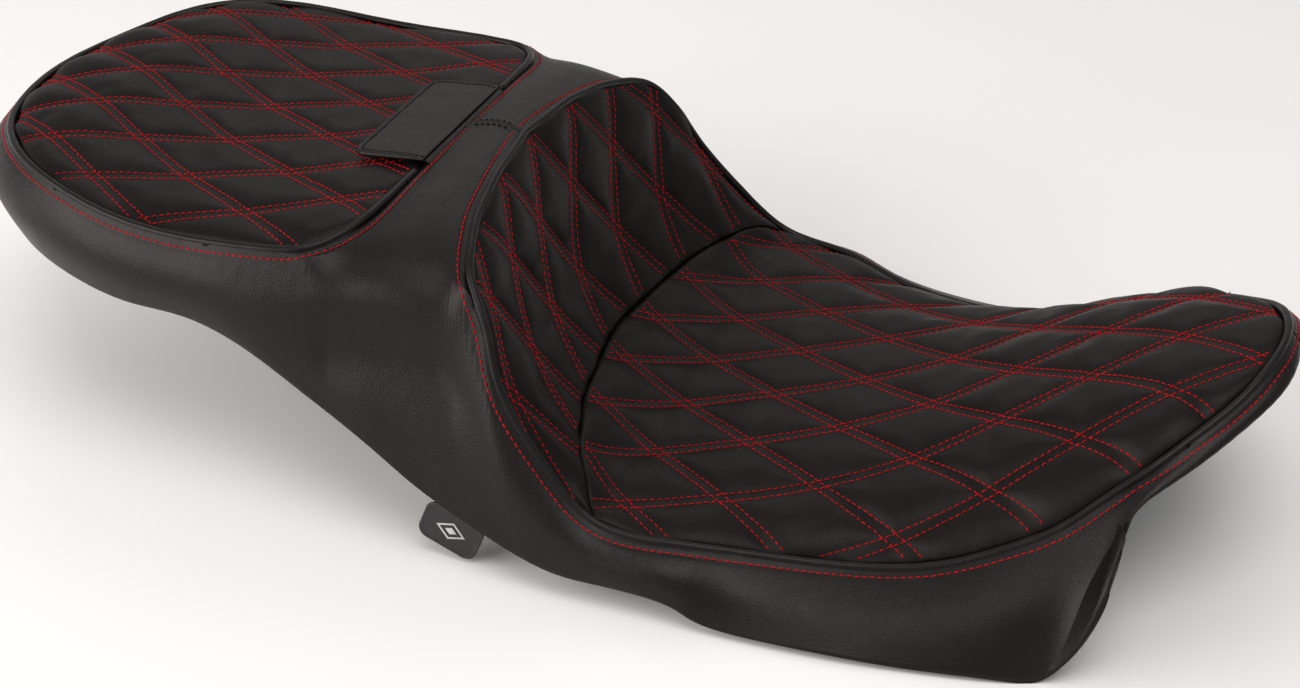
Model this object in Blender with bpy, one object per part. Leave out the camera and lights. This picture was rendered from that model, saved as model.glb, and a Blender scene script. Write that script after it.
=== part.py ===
"""Two-up motorcycle seat with diamond-quilted pads and a flap over the backrest socket.

X points forward, Y to the rider's left and Z up. The origin is on the floor under the
middle of the seat. Shapes are worked out in millimetres and written in metres.
"""

import math

import bmesh
import bpy
import numpy as np
from mathutils import Matrix

MM = 0.001

# Cover, pads and piping, in millimetres
COVER_THICKNESS = 2.2
SEAM_ALLOWANCE = 5.0
HEM_RETURN = 12.0
PAD_THICKNESS = 8.0
PAD_INSET = 8.5
WELT_RADIUS = 2.4
WELT_INSET = 3.2
WELT_LIFT = 3.9
BACK_HOLLOW = 60.0
BACK_RISE = 118.0
BACK_HALF_WIDTH = 160.0
SEAT_SEAM_GAP = 1.5
CENTRE_GAP = 0.5

# Foam and pan
PAN_THICKNESS = 4.0
PAN_FLAT_SHARE = 0.72
FOAM_OVER_PAN = 3.5
FOAM_UNDER_PAD = 2.5
FOAM_UNDER_COVER = 6.0
FOAM_SIDE_GAP = 14.0
FOAM_HALF_WIDTH = 140.0
FOAM_PAN_SHARE = 0.95
FOAM_NOSE_X = 280.0
FOAM_ENDS = (-350.0, 345.0)
FOAM_SPLIT_X = -92.5
FOAM_SPLIT_GAP = 1.0
FOAM_BACK_X = -66.0
FOAM_SEAT_X = 6.0
GAP = 0.5

# Shape of the upholstery across: a high power is flat in the middle and rolls down late
COVER_CROWN = 2.2
PILLION_CROWN = 6
SEAT_CROWN = 3

# Shares of the bridge, from the tail end, where the cover's inner edge leaves each pad
PILLION_SHARE = 0.38
BACK_SHARE = 0.6

# Backrest socket and the flap over it
SOCKET_X = -116.0
SOCKET_INSIDE = (12.0, 78.0)
SOCKET_WALL = 2.5
SOCKET_TOP = 155.0
SOCKET_FLANGE = (42.0, 104.0)
SOCKET_BOLTS = (14.0, 36.0)
SLOT_CLEARANCE = 2.0
SLOT_CUT_Z = (140.0, 190.0)
FLANGE_POCKET_FRONT = -80.0
FLANGE_POCKET_Z = (100.0, 121.0)
TUBE_POCKET_Z = (90.0, 190.0)
SOCKET_HOLE_Z = (95.0, 125.0)
FLAP_HINGE = (-93.2, 0.0, 175.6)
FLAP_LENGTH = 46.0
FLAP_WIDTH = 106.0
FLAP_THICKNESS = 3.4
FLAP_CORNER = 7.0
FLAP_SLOPE = -4.4
WELT_BREAK = 57.0
LOOP_STEP = 11.0

# Fittings under the pan
BUMPER_RADIUS = 12.0
BUMPER_HEIGHT = 9.0
BUMPER_CHAMFER = 2.0
BUMPER_STEM_RADIUS = 3.5
BUMPER_SPOTS = ((60.0, 100.0), (155.0, 100.0), (-305.0, 80.0), (-200.0, 95.0))
BOLT_RADIUS = 3.0
BOLT_HEAD_RADIUS = 5.5
BOLT_HEAD_HEIGHT = 3.2
HOLE_CLEARANCE = 0.4
TONGUE_X = (150.0, 262.0)
TONGUE_WIDTH = 44.0
TONGUE_CORNER = 6.0
TONGUE_RIVETS = (161.0, 176.0)
TAB_X = (-384.0, -318.0)
TAB_WIDTH = 40.0
TAB_CORNER = 10.0
TAB_HOLE_X = -373.0
TAB_HOLE_RADIUS = 4.25
TAB_BOLTS = (-344.0, -327.0)
STRAP_THICKNESS = 3.0
RIVET_HEAD_HEIGHT = 1.8
HOLE_REACH = 20.0

# Side label
TAG_SIZE = (36.0, 27.0)
TAG_CORNER = 7.0
TAG_THICKNESS = 1.6
TAG_CENTRE = (-26.0, 20.0)
TAG_SLOPE = 22.0
TAG_BEHIND_HEM = 5.0


def spline(positions, values):
    """Natural cubic spline through values at rising positions, as a function."""
    positions = np.asarray(positions, float)
    values = np.asarray(values, float)
    count = len(positions)
    gaps = np.diff(positions)
    system = np.eye(count)
    right = np.zeros(count)
    for i in range(1, count - 1):
        system[i, i - 1:i + 2] = gaps[i - 1], 2 * (gaps[i - 1] + gaps[i]), gaps[i]
        rise = (values[i + 1] - values[i]) / gaps[i] - (values[i] - values[i - 1]) / gaps[i - 1]
        right[i] = 6 * rise
    bend = np.linalg.solve(system, right)

    def value(at):
        at = min(max(at, positions[0]), positions[-1])
        i = min(int(np.searchsorted(positions, at, side="right")) - 1, count - 2)
        before = positions[i + 1] - at
        after = at - positions[i]
        gap = gaps[i]
        return float(
            (bend[i] * before ** 3 + bend[i + 1] * after ** 3) / (6 * gap)
            + (values[i] / gap - bend[i] * gap / 6) * before
            + (values[i + 1] / gap - bend[i + 1] * gap / 6) * after
        )

    return value


def through(*points):
    """Smooth curve through (position, value) points that never overshoots them."""
    xs = [float(point[0]) for point in points]
    ys = [float(point[1]) for point in points]
    steps = [(ys[i + 1] - ys[i]) / (xs[i + 1] - xs[i]) for i in range(len(xs) - 1)]
    slopes = [steps[0]]
    for before, after in zip(steps, steps[1:]):
        slopes.append(2 * before * after / (before + after) if before * after > 0 else 0.0)
    slopes.append(steps[-1])

    def value(at):
        at = min(max(at, xs[0]), xs[-1])
        k = 0
        while k < len(xs) - 2 and at > xs[k + 1]:
            k += 1
        span = xs[k + 1] - xs[k]
        u = (at - xs[k]) / span
        return (
            ys[k] * (1 + 2 * u) * (1 - u) ** 2
            + ys[k + 1] * u * u * (3 - 2 * u)
            + span * slopes[k] * u * (1 - u) ** 2
            + span * slopes[k + 1] * u * u * (u - 1)
        )

    return value


def path(points):
    """Smooth curve in space through points, as a function of 0 to 1 along its chords."""
    points = np.asarray(points, float)
    chords = np.linalg.norm(np.diff(points, axis=0), axis=1)
    along = np.concatenate([[0.0], np.cumsum(chords)]) / chords.sum()
    axes = [spline(along, points[:, axis]) for axis in range(3)]

    def value(at):
        return np.array([axis(at) for axis in axes])

    return value


# Height of the upholstery along the centre line
pillion_top = through(
    (-378, 166), (-360, 171), (-311, 175), (-267, 169), (-221, 164), (-170, 164),
    (-123, 168), (-94, 171.5),
)
bridge_top = through((-120, 169), (-94, 173), (-84, 176.5), (-70, 178.5), (-56, 176), (-20, 168))
seat_top = through(
    (1, 57), (18, 51), (64, 46), (110, 48), (157, 53), (202, 63), (243, 80), (286, 101),
    (329, 121), (371, 134), (384, 138),
)

# Back of the driver foam, behind the back pad, as a height at each x
back_foam = through((-66, 168), (-58, 157), (-45, 118), (-30, 76), (-18, 56), (-6, 44), (6, 38))

# Underside of the pan along its middle and along its edge, and the pan's half width
pan_middle = through(
    (-362, 116), (-354, 112), (-330, 112), (-180, 112), (-165, 107), (-84, 107), (-62, 90),
    (-20, 36), (15, 12), (195, 12), (237, 20), (270, 38), (300, 62), (323, 84), (353, 104),
)
pan_edge = through(
    (-362, 128), (-280, 120), (-192, 114), (-152, 103), (-114, 86), (-78, 68), (-46, 49),
    (-12, 35), (18, 24), (46, 19), (106, 16), (124, 9), (178, 7), (237, 5), (270, 12),
    (285, 22), (300, 40), (304, 50), (311, 72), (323, 84), (339, 96), (353, 104),
)
pan_half = through(
    (-362, 2), (-355, 40), (-340, 75), (-310, 107), (-280, 126), (-231, 137), (-190, 140),
    (-150, 143), (-114, 147), (-78, 152), (-46, 157), (-12, 162), (18, 165), (72, 167),
    (124, 167), (178, 165), (237, 157), (270, 149), (285, 143), (298, 132), (304, 95),
    (311, 77), (323, 60), (339, 36), (353, 2),
)

# Half of the upholstery's rim, from the middle of the tail to the middle of the nose.
# Each row holds the top edge, the widest point and the hem, as (x, y, z).
RIM = (
    ((-378, 0, 164), (-389, 0, 147), (-382, 0, 126)),
    ((-374, 35, 164), (-385, 41, 147), (-378, 39, 126)),
    ((-362, 67, 166), (-373, 77, 147), (-366, 74, 126)),
    ((-343, 96, 170), (-351, 108, 147), (-345, 104, 125)),
    ((-319, 120, 171), (-323, 132, 145), (-318, 128, 123)),
    ((-280, 141, 167), (-282, 152, 143), (-280, 148, 119)),
    ((-231, 152, 160), (-231, 163, 139), (-231, 158, 113)),
    ((-190, 154, 158), (-190, 165, 137), (-192, 161, 113)),
    ((-150, 152, 159), (-150, 165, 133), (-152, 164, 102)),
    ((-118, 148, 160), (-113, 163, 126), (-114, 169, 84)),
    ((-90, 146, 161), (-82, 161, 118), (-78, 174, 66)),
    ((-60, 143, 159), (-52, 161, 106), (-46, 178, 47)),
    ((-29, 139, 153), (-22, 164, 91), (-12, 183, 33)),
    ((-8, 155, 116), (0, 175, 72), (18, 186, 22)),
    ((25, 168, 71), (32, 183, 46), (46, 188, 17)),
    ((57, 173, 44), (63, 187, 31), (72, 188, 17)),
    ((101, 168, 38), (104, 184, 28), (106, 188, 14)),
    ((133, 157, 33), (128, 178, 22), (124, 188, 7)),
    ((178, 146, 30), (178, 169, 19), (178, 186, 5)),
    ((237, 135, 38), (240, 160, 24), (240, 178, 3.5)),
    ((270, 126, 52), (276, 152, 32), (280, 169, 1.6)),
    ((292, 118, 64), (298, 142, 42), (303, 161, 7)),
    ((308, 109, 77), (316, 132, 60), (321, 153, 48)),
    ((319, 102, 86), (325, 119, 79), (324, 128, 73)),
    ((331, 94, 95), (334, 106, 89), (326, 94, 79)),
    ((345, 80, 105), (350, 88, 98), (338, 74, 90)),
    ((364, 58, 118), (370, 62, 111), (356, 48, 102)),
    ((379, 30, 131), (387, 33, 124), (371, 28, 113)),
    ((384, 0, 135), (390, 0, 128), (375, 0, 116)),
)

# Stations along the pan, and along the seat pad behind its widest part
PAN_XS = (
    -362, -357, -347, -328, -300, -265, -225, -190, -165, -140, -112, -84, -72, -60, -48, -36,
    -24, -12, 2, 18, 45, 75, 106, 124, 150, 180, 210, 237, 255, 270, 285, 298, 304, 311, 323,
    333, 343, 353,
)
SEAT_BACK_XS = [2.6, 5, 9, 15, 22, 31, 42, 55, 66]
SEAT_FRONT_X = 84.0

MIRROR = np.array([1.0, -1.0, 1.0])
UP = np.array([0.0, 0.0, 1.0])

# Edges of the cover on the bridge between the pads, from the rim to the centre line
PILLION_FRONT = (
    (-118, 148, 160), (-107, 133, 163), (-98, 112, 167), (-94.5, 80, 169.5),
    (-92.5, 40, 172), (-92, 0, 173),
)
BACK_ARC = (
    (-29, 139, 153), (-35, 124, 159), (-40.5, 107, 164), (-45, 91, 168), (-48, 73, 171),
    (-50.5, 54, 174), (-53, 31, 175), (-56, 0, 176),
)
# Seam between the back pad and the seat pad, from the centre line outwards
SEAM = ((1, 0, 57), (8, 44, 57), (17, 91, 58), (29, 121, 59), (42, 148, 57), (55, 171, 46))


def rim_curve(column):
    """One line of the rim, 0 at the tail and 1 at the nose, level across the centre line."""
    points = [np.array(row[column], float) for row in RIM]
    points = [points[1] * MIRROR] + points + [points[-2] * MIRROR]
    tops = [np.array(row[0], float) for row in RIM]
    lengths = [np.linalg.norm(b - a) for a, b in zip(tops, tops[1:])]
    lengths = [lengths[0]] + lengths + [lengths[-1]]
    along = np.concatenate([[0.0], np.cumsum(lengths)]) - lengths[0]
    along = along / along[-2]
    axes = [spline(along, [point[axis] for point in points]) for axis in range(3)]

    def value(at):
        return np.array([axis(at) for axis in axes])

    return value


top_edge = rim_curve(0)
widest_line = rim_curve(1)
hem_line = rim_curve(2)
pillion_front = path(PILLION_FRONT)
back_arc = path(BACK_ARC)
seam = path(SEAM)
edge_y = through(*[(row[0][0], row[0][1]) for row in RIM])
edge_z = through(*[(row[0][0], row[0][2]) for row in RIM])
hem_y = through(*[(row[2][0], row[2][1]) for row in RIM])


def clamp(value):
    return min(max(value, 0.0), 1.0)


def smooth_step(value):
    share = clamp(value)
    return share * share * (3.0 - 2.0 * share)


def cover_height(x, y):
    """Height of the smooth cover on the bridge."""
    share = clamp(abs(y) / edge_y(x))
    return bridge_top(x) - (bridge_top(x) - edge_z(x)) * share ** COVER_CROWN


def pillion_height(x, y):
    """Height of the passenger pad: flat across, rolling down to its rim."""
    share = clamp(abs(y) / max(edge_y(x), 1.0))
    return pillion_top(x) - (pillion_top(x) - edge_z(x)) * share ** PILLION_CROWN


def seat_height(x, y):
    """Height of the seat pad: it rises to the nose and falls away to its sides."""
    share = clamp(abs(y) / max(edge_y(x), 1.0))
    return seat_top(x) - (seat_top(x) - edge_z(x)) * share ** SEAT_CROWN


def pan_height(x, y):
    """Height of the pan's underside, which bends to the hem's level near its edges."""
    share = abs(y) / pan_half(x)
    bend = smooth_step((share - PAN_FLAT_SHARE) / (1.0 - PAN_FLAT_SHARE))
    return pan_middle(x) + (pan_edge(x) - pan_middle(x)) * bend


def spread(start, stop, count):
    return [start + (stop - start) * i / (count - 1) for i in range(count)]


def rounded_spread(start, stop, count):
    """Positions from start to stop that crowd towards both ends."""
    turns = [math.pi * i / (count - 1) for i in range(count)]
    return [start + (stop - start) * (1.0 - math.cos(turn)) / 2.0 for turn in turns]


def rim_position(x):
    """Place along the top edge, 0 to 1, where it passes x."""
    low, high = 0.0, 1.0
    for _ in range(40):
        middle = (low + high) / 2.0
        if top_edge(middle)[0] < x:
            low = middle
        else:
            high = middle
    return low


BRIDGE_START = rim_position(PILLION_FRONT[0][0])
BRIDGE_STOP = rim_position(BACK_ARC[0][0])


def closed_loop(half):
    """A loop from its left half, both of whose end points lie on the centre line."""
    half = [np.asarray(point, float) for point in half]
    return np.array(half + [point * MIRROR for point in half[-2:0:-1]])


def loop_frames(loop):
    """Directions inwards and upwards, square to a loop, at each of its points."""
    centre = loop.mean(axis=0)
    ahead = np.roll(loop, -1, axis=0) - np.roll(loop, 1, axis=0)
    ahead /= np.linalg.norm(ahead, axis=1)[:, None]
    inward = np.cross(UP, ahead)
    inward /= np.linalg.norm(inward, axis=1)[:, None]
    facing = np.einsum("ij,ij->i", inward, centre - loop)
    if facing.sum() < 0.0:
        inward = -inward
    upward = np.cross(ahead, inward)
    upward *= np.sign(upward[:, 2])[:, None]
    return inward, upward


def offset_loop(loop, inset, lift):
    inward, upward = loop_frames(loop)
    return loop + inward * inset + upward * lift


def even_steps(points, step):
    """The same polyline with points about one step apart, keeping both ends."""
    points = np.asarray(points, float)
    lengths = np.linalg.norm(np.diff(points, axis=0), axis=1)
    along = np.concatenate([[0.0], np.cumsum(lengths)])
    count = max(2, int(round(along[-1] / step)) + 1)
    at = np.linspace(0.0, along[-1], count)
    return np.stack([np.interp(at, along, points[:, axis]) for axis in range(3)], axis=1)


def passenger_edge():
    rear = [top_edge(at) for at in spread(0.0, BRIDGE_START, 80)]
    front = [pillion_front(at) for at in spread(0.0, 1.0, 60)]
    return closed_loop(even_steps(rear + front[1:], LOOP_STEP))


def driver_edge():
    back = [back_arc(at) for at in spread(1.0, 0.0, 60)]
    sides = [top_edge(at) for at in spread(BRIDGE_STOP, 1.0, 160)]
    return closed_loop(even_steps(back + sides[1:], LOOP_STEP))


def half_width(loop):
    """Half width of a loop as a function of x, from its left half."""
    left = sorted((tuple(point[:2]) for point in loop if point[1] > -0.01), key=lambda p: p[0])
    xs = [point[0] for point in left]
    ys = [max(point[1], 0.0) for point in left]

    def value(x):
        return float(np.interp(x, xs, ys))

    return value


def material(slot):
    """The finish of one material slot."""
    finishes = {
        "quilted_vinyl": ((0.022, 0.020, 0.019), 0.48, 0.0),
        "skirt_vinyl": ((0.024, 0.021, 0.020), 0.42, 0.0),
        "welt_vinyl": ((0.018, 0.017, 0.016), 0.38, 0.0),
        "foam": ((0.62, 0.58, 0.46), 0.95, 0.0),
        "pan_plastic": ((0.020, 0.020, 0.021), 0.60, 0.0),
        "plated_steel": ((0.46, 0.46, 0.45), 0.38, 1.0),
        "bumper_rubber": ((0.016, 0.016, 0.016), 0.80, 0.0),
        "tag_rubber": ((0.012, 0.012, 0.013), 0.50, 0.0),
    }
    found = bpy.data.materials.get(slot)
    if found:
        return found
    colour, roughness, metallic = finishes[slot]
    made = bpy.data.materials.new(slot)
    made.use_nodes = True
    shader = made.node_tree.nodes["Principled BSDF"]
    shader.inputs["Base Color"].default_value = (*colour, 1.0)
    shader.inputs["Roughness"].default_value = roughness
    shader.inputs["Metallic"].default_value = metallic
    return made


def solid(name, points, faces, slot):
    """A closed mesh from points in millimetres, with its faces turned outwards."""
    mesh = bpy.data.meshes.new(name)
    mesh.from_pydata([tuple(float(c) * MM for c in point) for point in points], [], faces)
    work = bmesh.new()
    work.from_mesh(mesh)
    bmesh.ops.recalc_face_normals(work, faces=work.faces)
    work.to_mesh(mesh)
    work.free()
    mesh.materials.append(material(slot))
    mesh.shade_smooth()
    mesh.set_sharp_from_angle(angle=math.radians(40))
    made = bpy.data.objects.new(name, mesh)
    bpy.context.collection.objects.link(made)
    return made


def stacked_grids(name, upper, lower, slot):
    """A closed body between two grids of points, joined round their border."""
    upper = np.asarray(upper, float)
    lower = np.asarray(lower, float)
    rows, columns = upper.shape[:2]
    half = rows * columns
    faces = []
    for i in range(rows - 1):
        for j in range(columns - 1):
            a = i * columns + j
            quad = (a, a + 1, a + columns + 1, a + columns)
            faces.append(quad)
            faces.append(tuple(half + k for k in reversed(quad)))
    border = list(range(columns))
    border += [i * columns + columns - 1 for i in range(1, rows)]
    border += [(rows - 1) * columns + j for j in range(columns - 2, -1, -1)]
    border += [i * columns for i in range(rows - 2, 0, -1)]
    for a, b in zip(border, border[1:] + border[:1]):
        faces.append((b, a, half + a, half + b))
    points = list(upper.reshape(-1, 3)) + list(lower.reshape(-1, 3))
    return solid(name, points, faces, slot)


def slab(name, xs, half, top, bottom, shares, slot):
    """A block between two height functions over the outline |y| < half(x)."""
    plan = [[(x, share * half(x)) for share in shares] for x in xs]
    upper = [[(x, y, top(x, y)) for x, y in row] for row in plan]
    lower = [[(x, y, bottom(x, y)) for x, y in row] for row in plan]
    return stacked_grids(name, upper, lower, slot)


def behind(grid, thickness):
    """A grid moved back from the side that its rows and columns face."""
    grid = np.asarray(grid, float)
    normals = np.cross(np.gradient(grid, axis=0), np.gradient(grid, axis=1))
    normals /= np.linalg.norm(normals, axis=2)[:, :, None]
    return grid - normals * thickness


def cord(name, centres, inward, upward, closed, slot):
    """A round cord of the welt's radius along points with their two cross directions."""
    sides = 6
    points = []
    for centre, across, lift in zip(centres, inward, upward):
        for k in range(sides):
            turn = 2.0 * math.pi * k / sides
            offset = math.cos(turn) * across + math.sin(turn) * lift
            points.append(centre + WELT_RADIUS * offset)
    count = len(centres)
    faces = []
    for i in range(count if closed else count - 1):
        for k in range(sides):
            a, b = i * sides + k, i * sides + (k + 1) % sides
            after = (i + 1) % count * sides
            faces.append((a, b, after + (k + 1) % sides, after + k))
    if not closed:
        faces.append(tuple(range(sides)))
        faces.append(tuple((count - 1) * sides + k for k in range(sides)))
    return solid(name, points, faces, slot)


def rounded_outline(x_low, x_high, y_low, y_high, corners, steps=4):
    """A rectangle with a radius for each corner, from high x and y turning left."""
    spots = (
        (x_high, y_high, -1, -1, 0), (x_low, y_high, 1, -1, 90),
        (x_low, y_low, 1, 1, 180), (x_high, y_low, -1, 1, 270),
    )
    outline = []
    for (x, y, sx, sy, start), corner in zip(spots, corners):
        if corner == 0:
            outline.append((x, y))
            continue
        for k in range(steps + 1):
            turn = math.radians(start + 90.0 * k / steps)
            cx = x + sx * corner + corner * math.cos(turn)
            cy = y + sy * corner + corner * math.sin(turn)
            outline.append((cx, cy))
    return outline


def plate(name, outline, low, high, slot):
    """A flat plate with its outline in X and Y, between two heights."""
    count = len(outline)
    points = [(x, y, low) for x, y in outline] + [(x, y, high) for x, y in outline]
    faces = [tuple(range(count))[::-1], tuple(range(count, 2 * count))]
    for k in range(count):
        after = (k + 1) % count
        faces.append((k, after, count + after, count + k))
    return solid(name, points, faces, slot)


def turned(name, profile, slot, sides=12):
    """A round piece about its own Z from (radius, height) points, bottom to top."""
    points = []
    for radius, height in profile:
        for k in range(sides):
            turn = 2.0 * math.pi * k / sides
            points.append((radius * math.cos(turn), radius * math.sin(turn), height))
    faces = [tuple(range(sides))[::-1]]
    for level in range(len(profile) - 1):
        for k in range(sides):
            a, b = level * sides + k, level * sides + (k + 1) % sides
            faces.append((a, b, b + sides, a + sides))
    faces.append(tuple((len(profile) - 1) * sides + k for k in range(sides)))
    return solid(name, points, faces, slot)


def place(piece, x, y, z, turn=0.0, axis="Y"):
    """Move a piece, in millimetres, with an optional turn about one axis in degrees."""
    piece.matrix_world = Matrix.Translation((x * MM, y * MM, z * MM)) @ Matrix.Rotation(
        math.radians(turn), 4, axis
    )
    return piece


def cut(piece, cutter):
    """Take a cutter out of a piece."""
    cutter.hide_render = True
    cutter.display_type = "WIRE"
    step = piece.modifiers.new(cutter.name, "BOOLEAN")
    step.operation = "DIFFERENCE"
    step.solver = "EXACT"
    step.object = cutter


def box_cutter(name, x_low, x_high, y_half, z_low, z_high):
    outline = rounded_outline(x_low, x_high, -y_half, y_half, (0, 0, 0, 0))
    return plate(name, outline, z_low, z_high, "plated_steel")


def hole_cutter(name, x, y, z_low, z_high, radius):
    return place(turned(name, ((radius, z_low), (radius, z_high)), "plated_steel"), x, y, 0.0)


def cover_inner_edge(at):
    """Two points where a cover row starts: the end of its seam allowance, and its seam."""
    if not BRIDGE_START < at < BRIDGE_STOP:
        ahead = top_edge(clamp(at + 0.01)) - top_edge(clamp(at - 0.01))
        inward = np.cross(ahead, UP)
        inward /= np.linalg.norm(inward)
        edge = top_edge(at)
        return edge + inward * SEAM_ALLOWANCE, edge + inward * SEAM_ALLOWANCE * 0.6
    along = (at - BRIDGE_START) / (BRIDGE_STOP - BRIDGE_START)
    if PILLION_SHARE < along < BACK_SHARE:
        share = (along - PILLION_SHARE) / (BACK_SHARE - PILLION_SHARE)
        x = PILLION_FRONT[-1][0] + (BACK_ARC[-1][0] - PILLION_FRONT[-1][0]) * share
        return np.array([x, 0.0, bridge_top(x)]), np.array([x, 6.0, bridge_top(x)])
    if along <= PILLION_SHARE:
        curve, share, facing = pillion_front, along / PILLION_SHARE, -1.0
    else:
        curve, share, facing = back_arc, (1.0 - along) / (1.0 - BACK_SHARE), 1.0
    ahead = curve(clamp(share + 0.01)) - curve(clamp(share - 0.01))
    inward = np.cross(ahead, UP)
    inward /= np.linalg.norm(inward)
    inward *= math.copysign(facing, facing * inward[0])
    start = curve(share)
    return start + inward * SEAM_ALLOWANCE, start


def cover_row(at):
    """One row of the smooth cover, from its seam over the shoulder to the turned-in hem."""
    inner, start = cover_inner_edge(at)
    edge = top_edge(at)
    middle = (start + edge) / 2.0
    if BRIDGE_START < at < BRIDGE_STOP:
        lift = np.linalg.norm(edge - start) / edge_y(middle[0])
        level = cover_height(middle[0], middle[1])
        middle[2] += (level - middle[2]) * clamp(lift)
    side = path([edge, widest_line(at), hem_line(at)])
    row = [inner, start, middle] + [side(share) for share in spread(0.0, 1.0, 5)]
    ahead = hem_line(clamp(at + 0.01)) - hem_line(clamp(at - 0.01))
    inward = np.cross(ahead, UP)
    inward /= np.linalg.norm(inward)
    row.append(row[-1] + inward * HEM_RETURN + UP * GAP)
    return row


def make_skirts():
    """The two smooth side covers, which meet on the centre line of the bridge."""
    bridge = spread(BRIDGE_START, BRIDGE_STOP, 16)[1:-1]
    stations = spread(0.0, BRIDGE_START, 10) + bridge + spread(BRIDGE_STOP, 1.0, 22)
    rows = np.array([cover_row(at) for at in stations])
    lower = behind(rows, COVER_THICKNESS)
    for grid in (rows, lower):
        grid[:, :, 1] = np.maximum(grid[:, :, 1], CENTRE_GAP)
    stacked_grids("left_skirt", rows, lower, "skirt_vinyl")
    stacked_grids("right_skirt", rows * MIRROR, lower * MIRROR, "skirt_vinyl")


def make_pads(passenger, driver):
    """The three quilted pads: passenger, driver's seat and driver's back."""
    shares = [math.sin(math.pi / 2.0 * share) for share in spread(-1.0, 1.0, 13)]
    inner = offset_loop(passenger, PAD_INSET, 0.0)
    half = half_width(inner)
    pad = slab(
        "passenger_panel",
        rounded_spread(inner[:, 0].min() + 0.5, inner[:, 0].max() - 0.5, 19),
        half, pillion_height, lambda x, y: pillion_height(x, y) - PAD_THICKNESS,
        shares, "quilted_vinyl",
    )
    slot_x = SOCKET_INSIDE[0] / 2.0 + SLOT_CLEARANCE
    slot_y = SOCKET_INSIDE[1] / 2.0 + SLOT_CLEARANCE
    cut(pad, box_cutter("pad_slot", SOCKET_X - slot_x, SOCKET_X + slot_x, slot_y, *SLOT_CUT_Z))

    inner = offset_loop(driver, PAD_INSET, 0.0)
    rim = half_width(inner)
    seam_points = [seam(at) for at in spread(0.0, 1.0, 40)]
    seam_xs = [point[0] + SEAT_SEAM_GAP for point in seam_points]
    seam_ys = [point[1] for point in seam_points]

    def seat_half(x):
        return max(min(rim(x), float(np.interp(x, seam_xs, seam_ys))), 1.0)

    front = rounded_spread(SEAT_FRONT_X, inner[:, 0].max() - 0.5, 15)
    slab(
        "driver_seat_panel", SEAT_BACK_XS + front, seat_half, seat_height,
        lambda x, y: seat_height(x, y) - PAD_THICKNESS, shares, "quilted_vinyl",
    )

    seam_line = np.array(seam_points)
    arc = inner[(inner[:, 1] >= -0.01) & (inner[:, 0] < 60.0)]
    arc = arc[np.argsort(arc[:, 1])]
    grid = []
    for turn in spread(-math.pi / 2.0, math.pi / 2.0, 17):
        y = BACK_HALF_WIDTH * math.sin(turn)
        low = np.array([np.interp(abs(y), seam_line[:, 1], seam_line[:, k]) for k in range(3)])
        high = np.array([np.interp(abs(y), arc[:, 1], arc[:, k]) for k in range(3)])
        low[1] = high[1] = abs(y)
        low[2] += 1.0
        column = []
        for share in spread(0.0, 1.0, 8):
            point = low + (high - low) * share
            hollow = BACK_HOLLOW * share * (1.0 - share) ** 2
            point[0] -= hollow * (high[2] - low[2]) / BACK_RISE
            column.append(point * (MIRROR if y < 0 else 1.0))
        grid.append(column)
    grid = np.array(grid)
    lower = grid.copy()
    for j, share in enumerate(spread(0.0, 1.0, 8)):
        turn = math.radians(90.0 * share ** 2)
        lower[:, j] += PAD_THICKNESS * np.array([-math.cos(turn), 0.0, -math.sin(turn)])
    stacked_grids("driver_back_panel", grid, lower, "quilted_vinyl")


def make_welts(passenger, driver):
    """Piping: a full loop round the driver's pads, an open one behind the flap's ends."""
    for name, loop, closed in (("driver_welt", driver, True), ("passenger_welt", passenger, False)):
        inward, upward = loop_frames(loop)
        centres = loop + inward * WELT_INSET + upward * WELT_LIFT
        keep = np.arange(len(loop))
        if not closed:
            front = (np.abs(loop[:, 1]) < WELT_BREAK) & (loop[:, 0] > -150.0)
            first = int(np.argmax(front))
            count = int(front.sum())
            keep = (np.arange(len(loop) - count) + first + count) % len(loop)
        cord(name, centres[keep], inward[keep], upward[keep], closed, "welt_vinyl")


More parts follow.
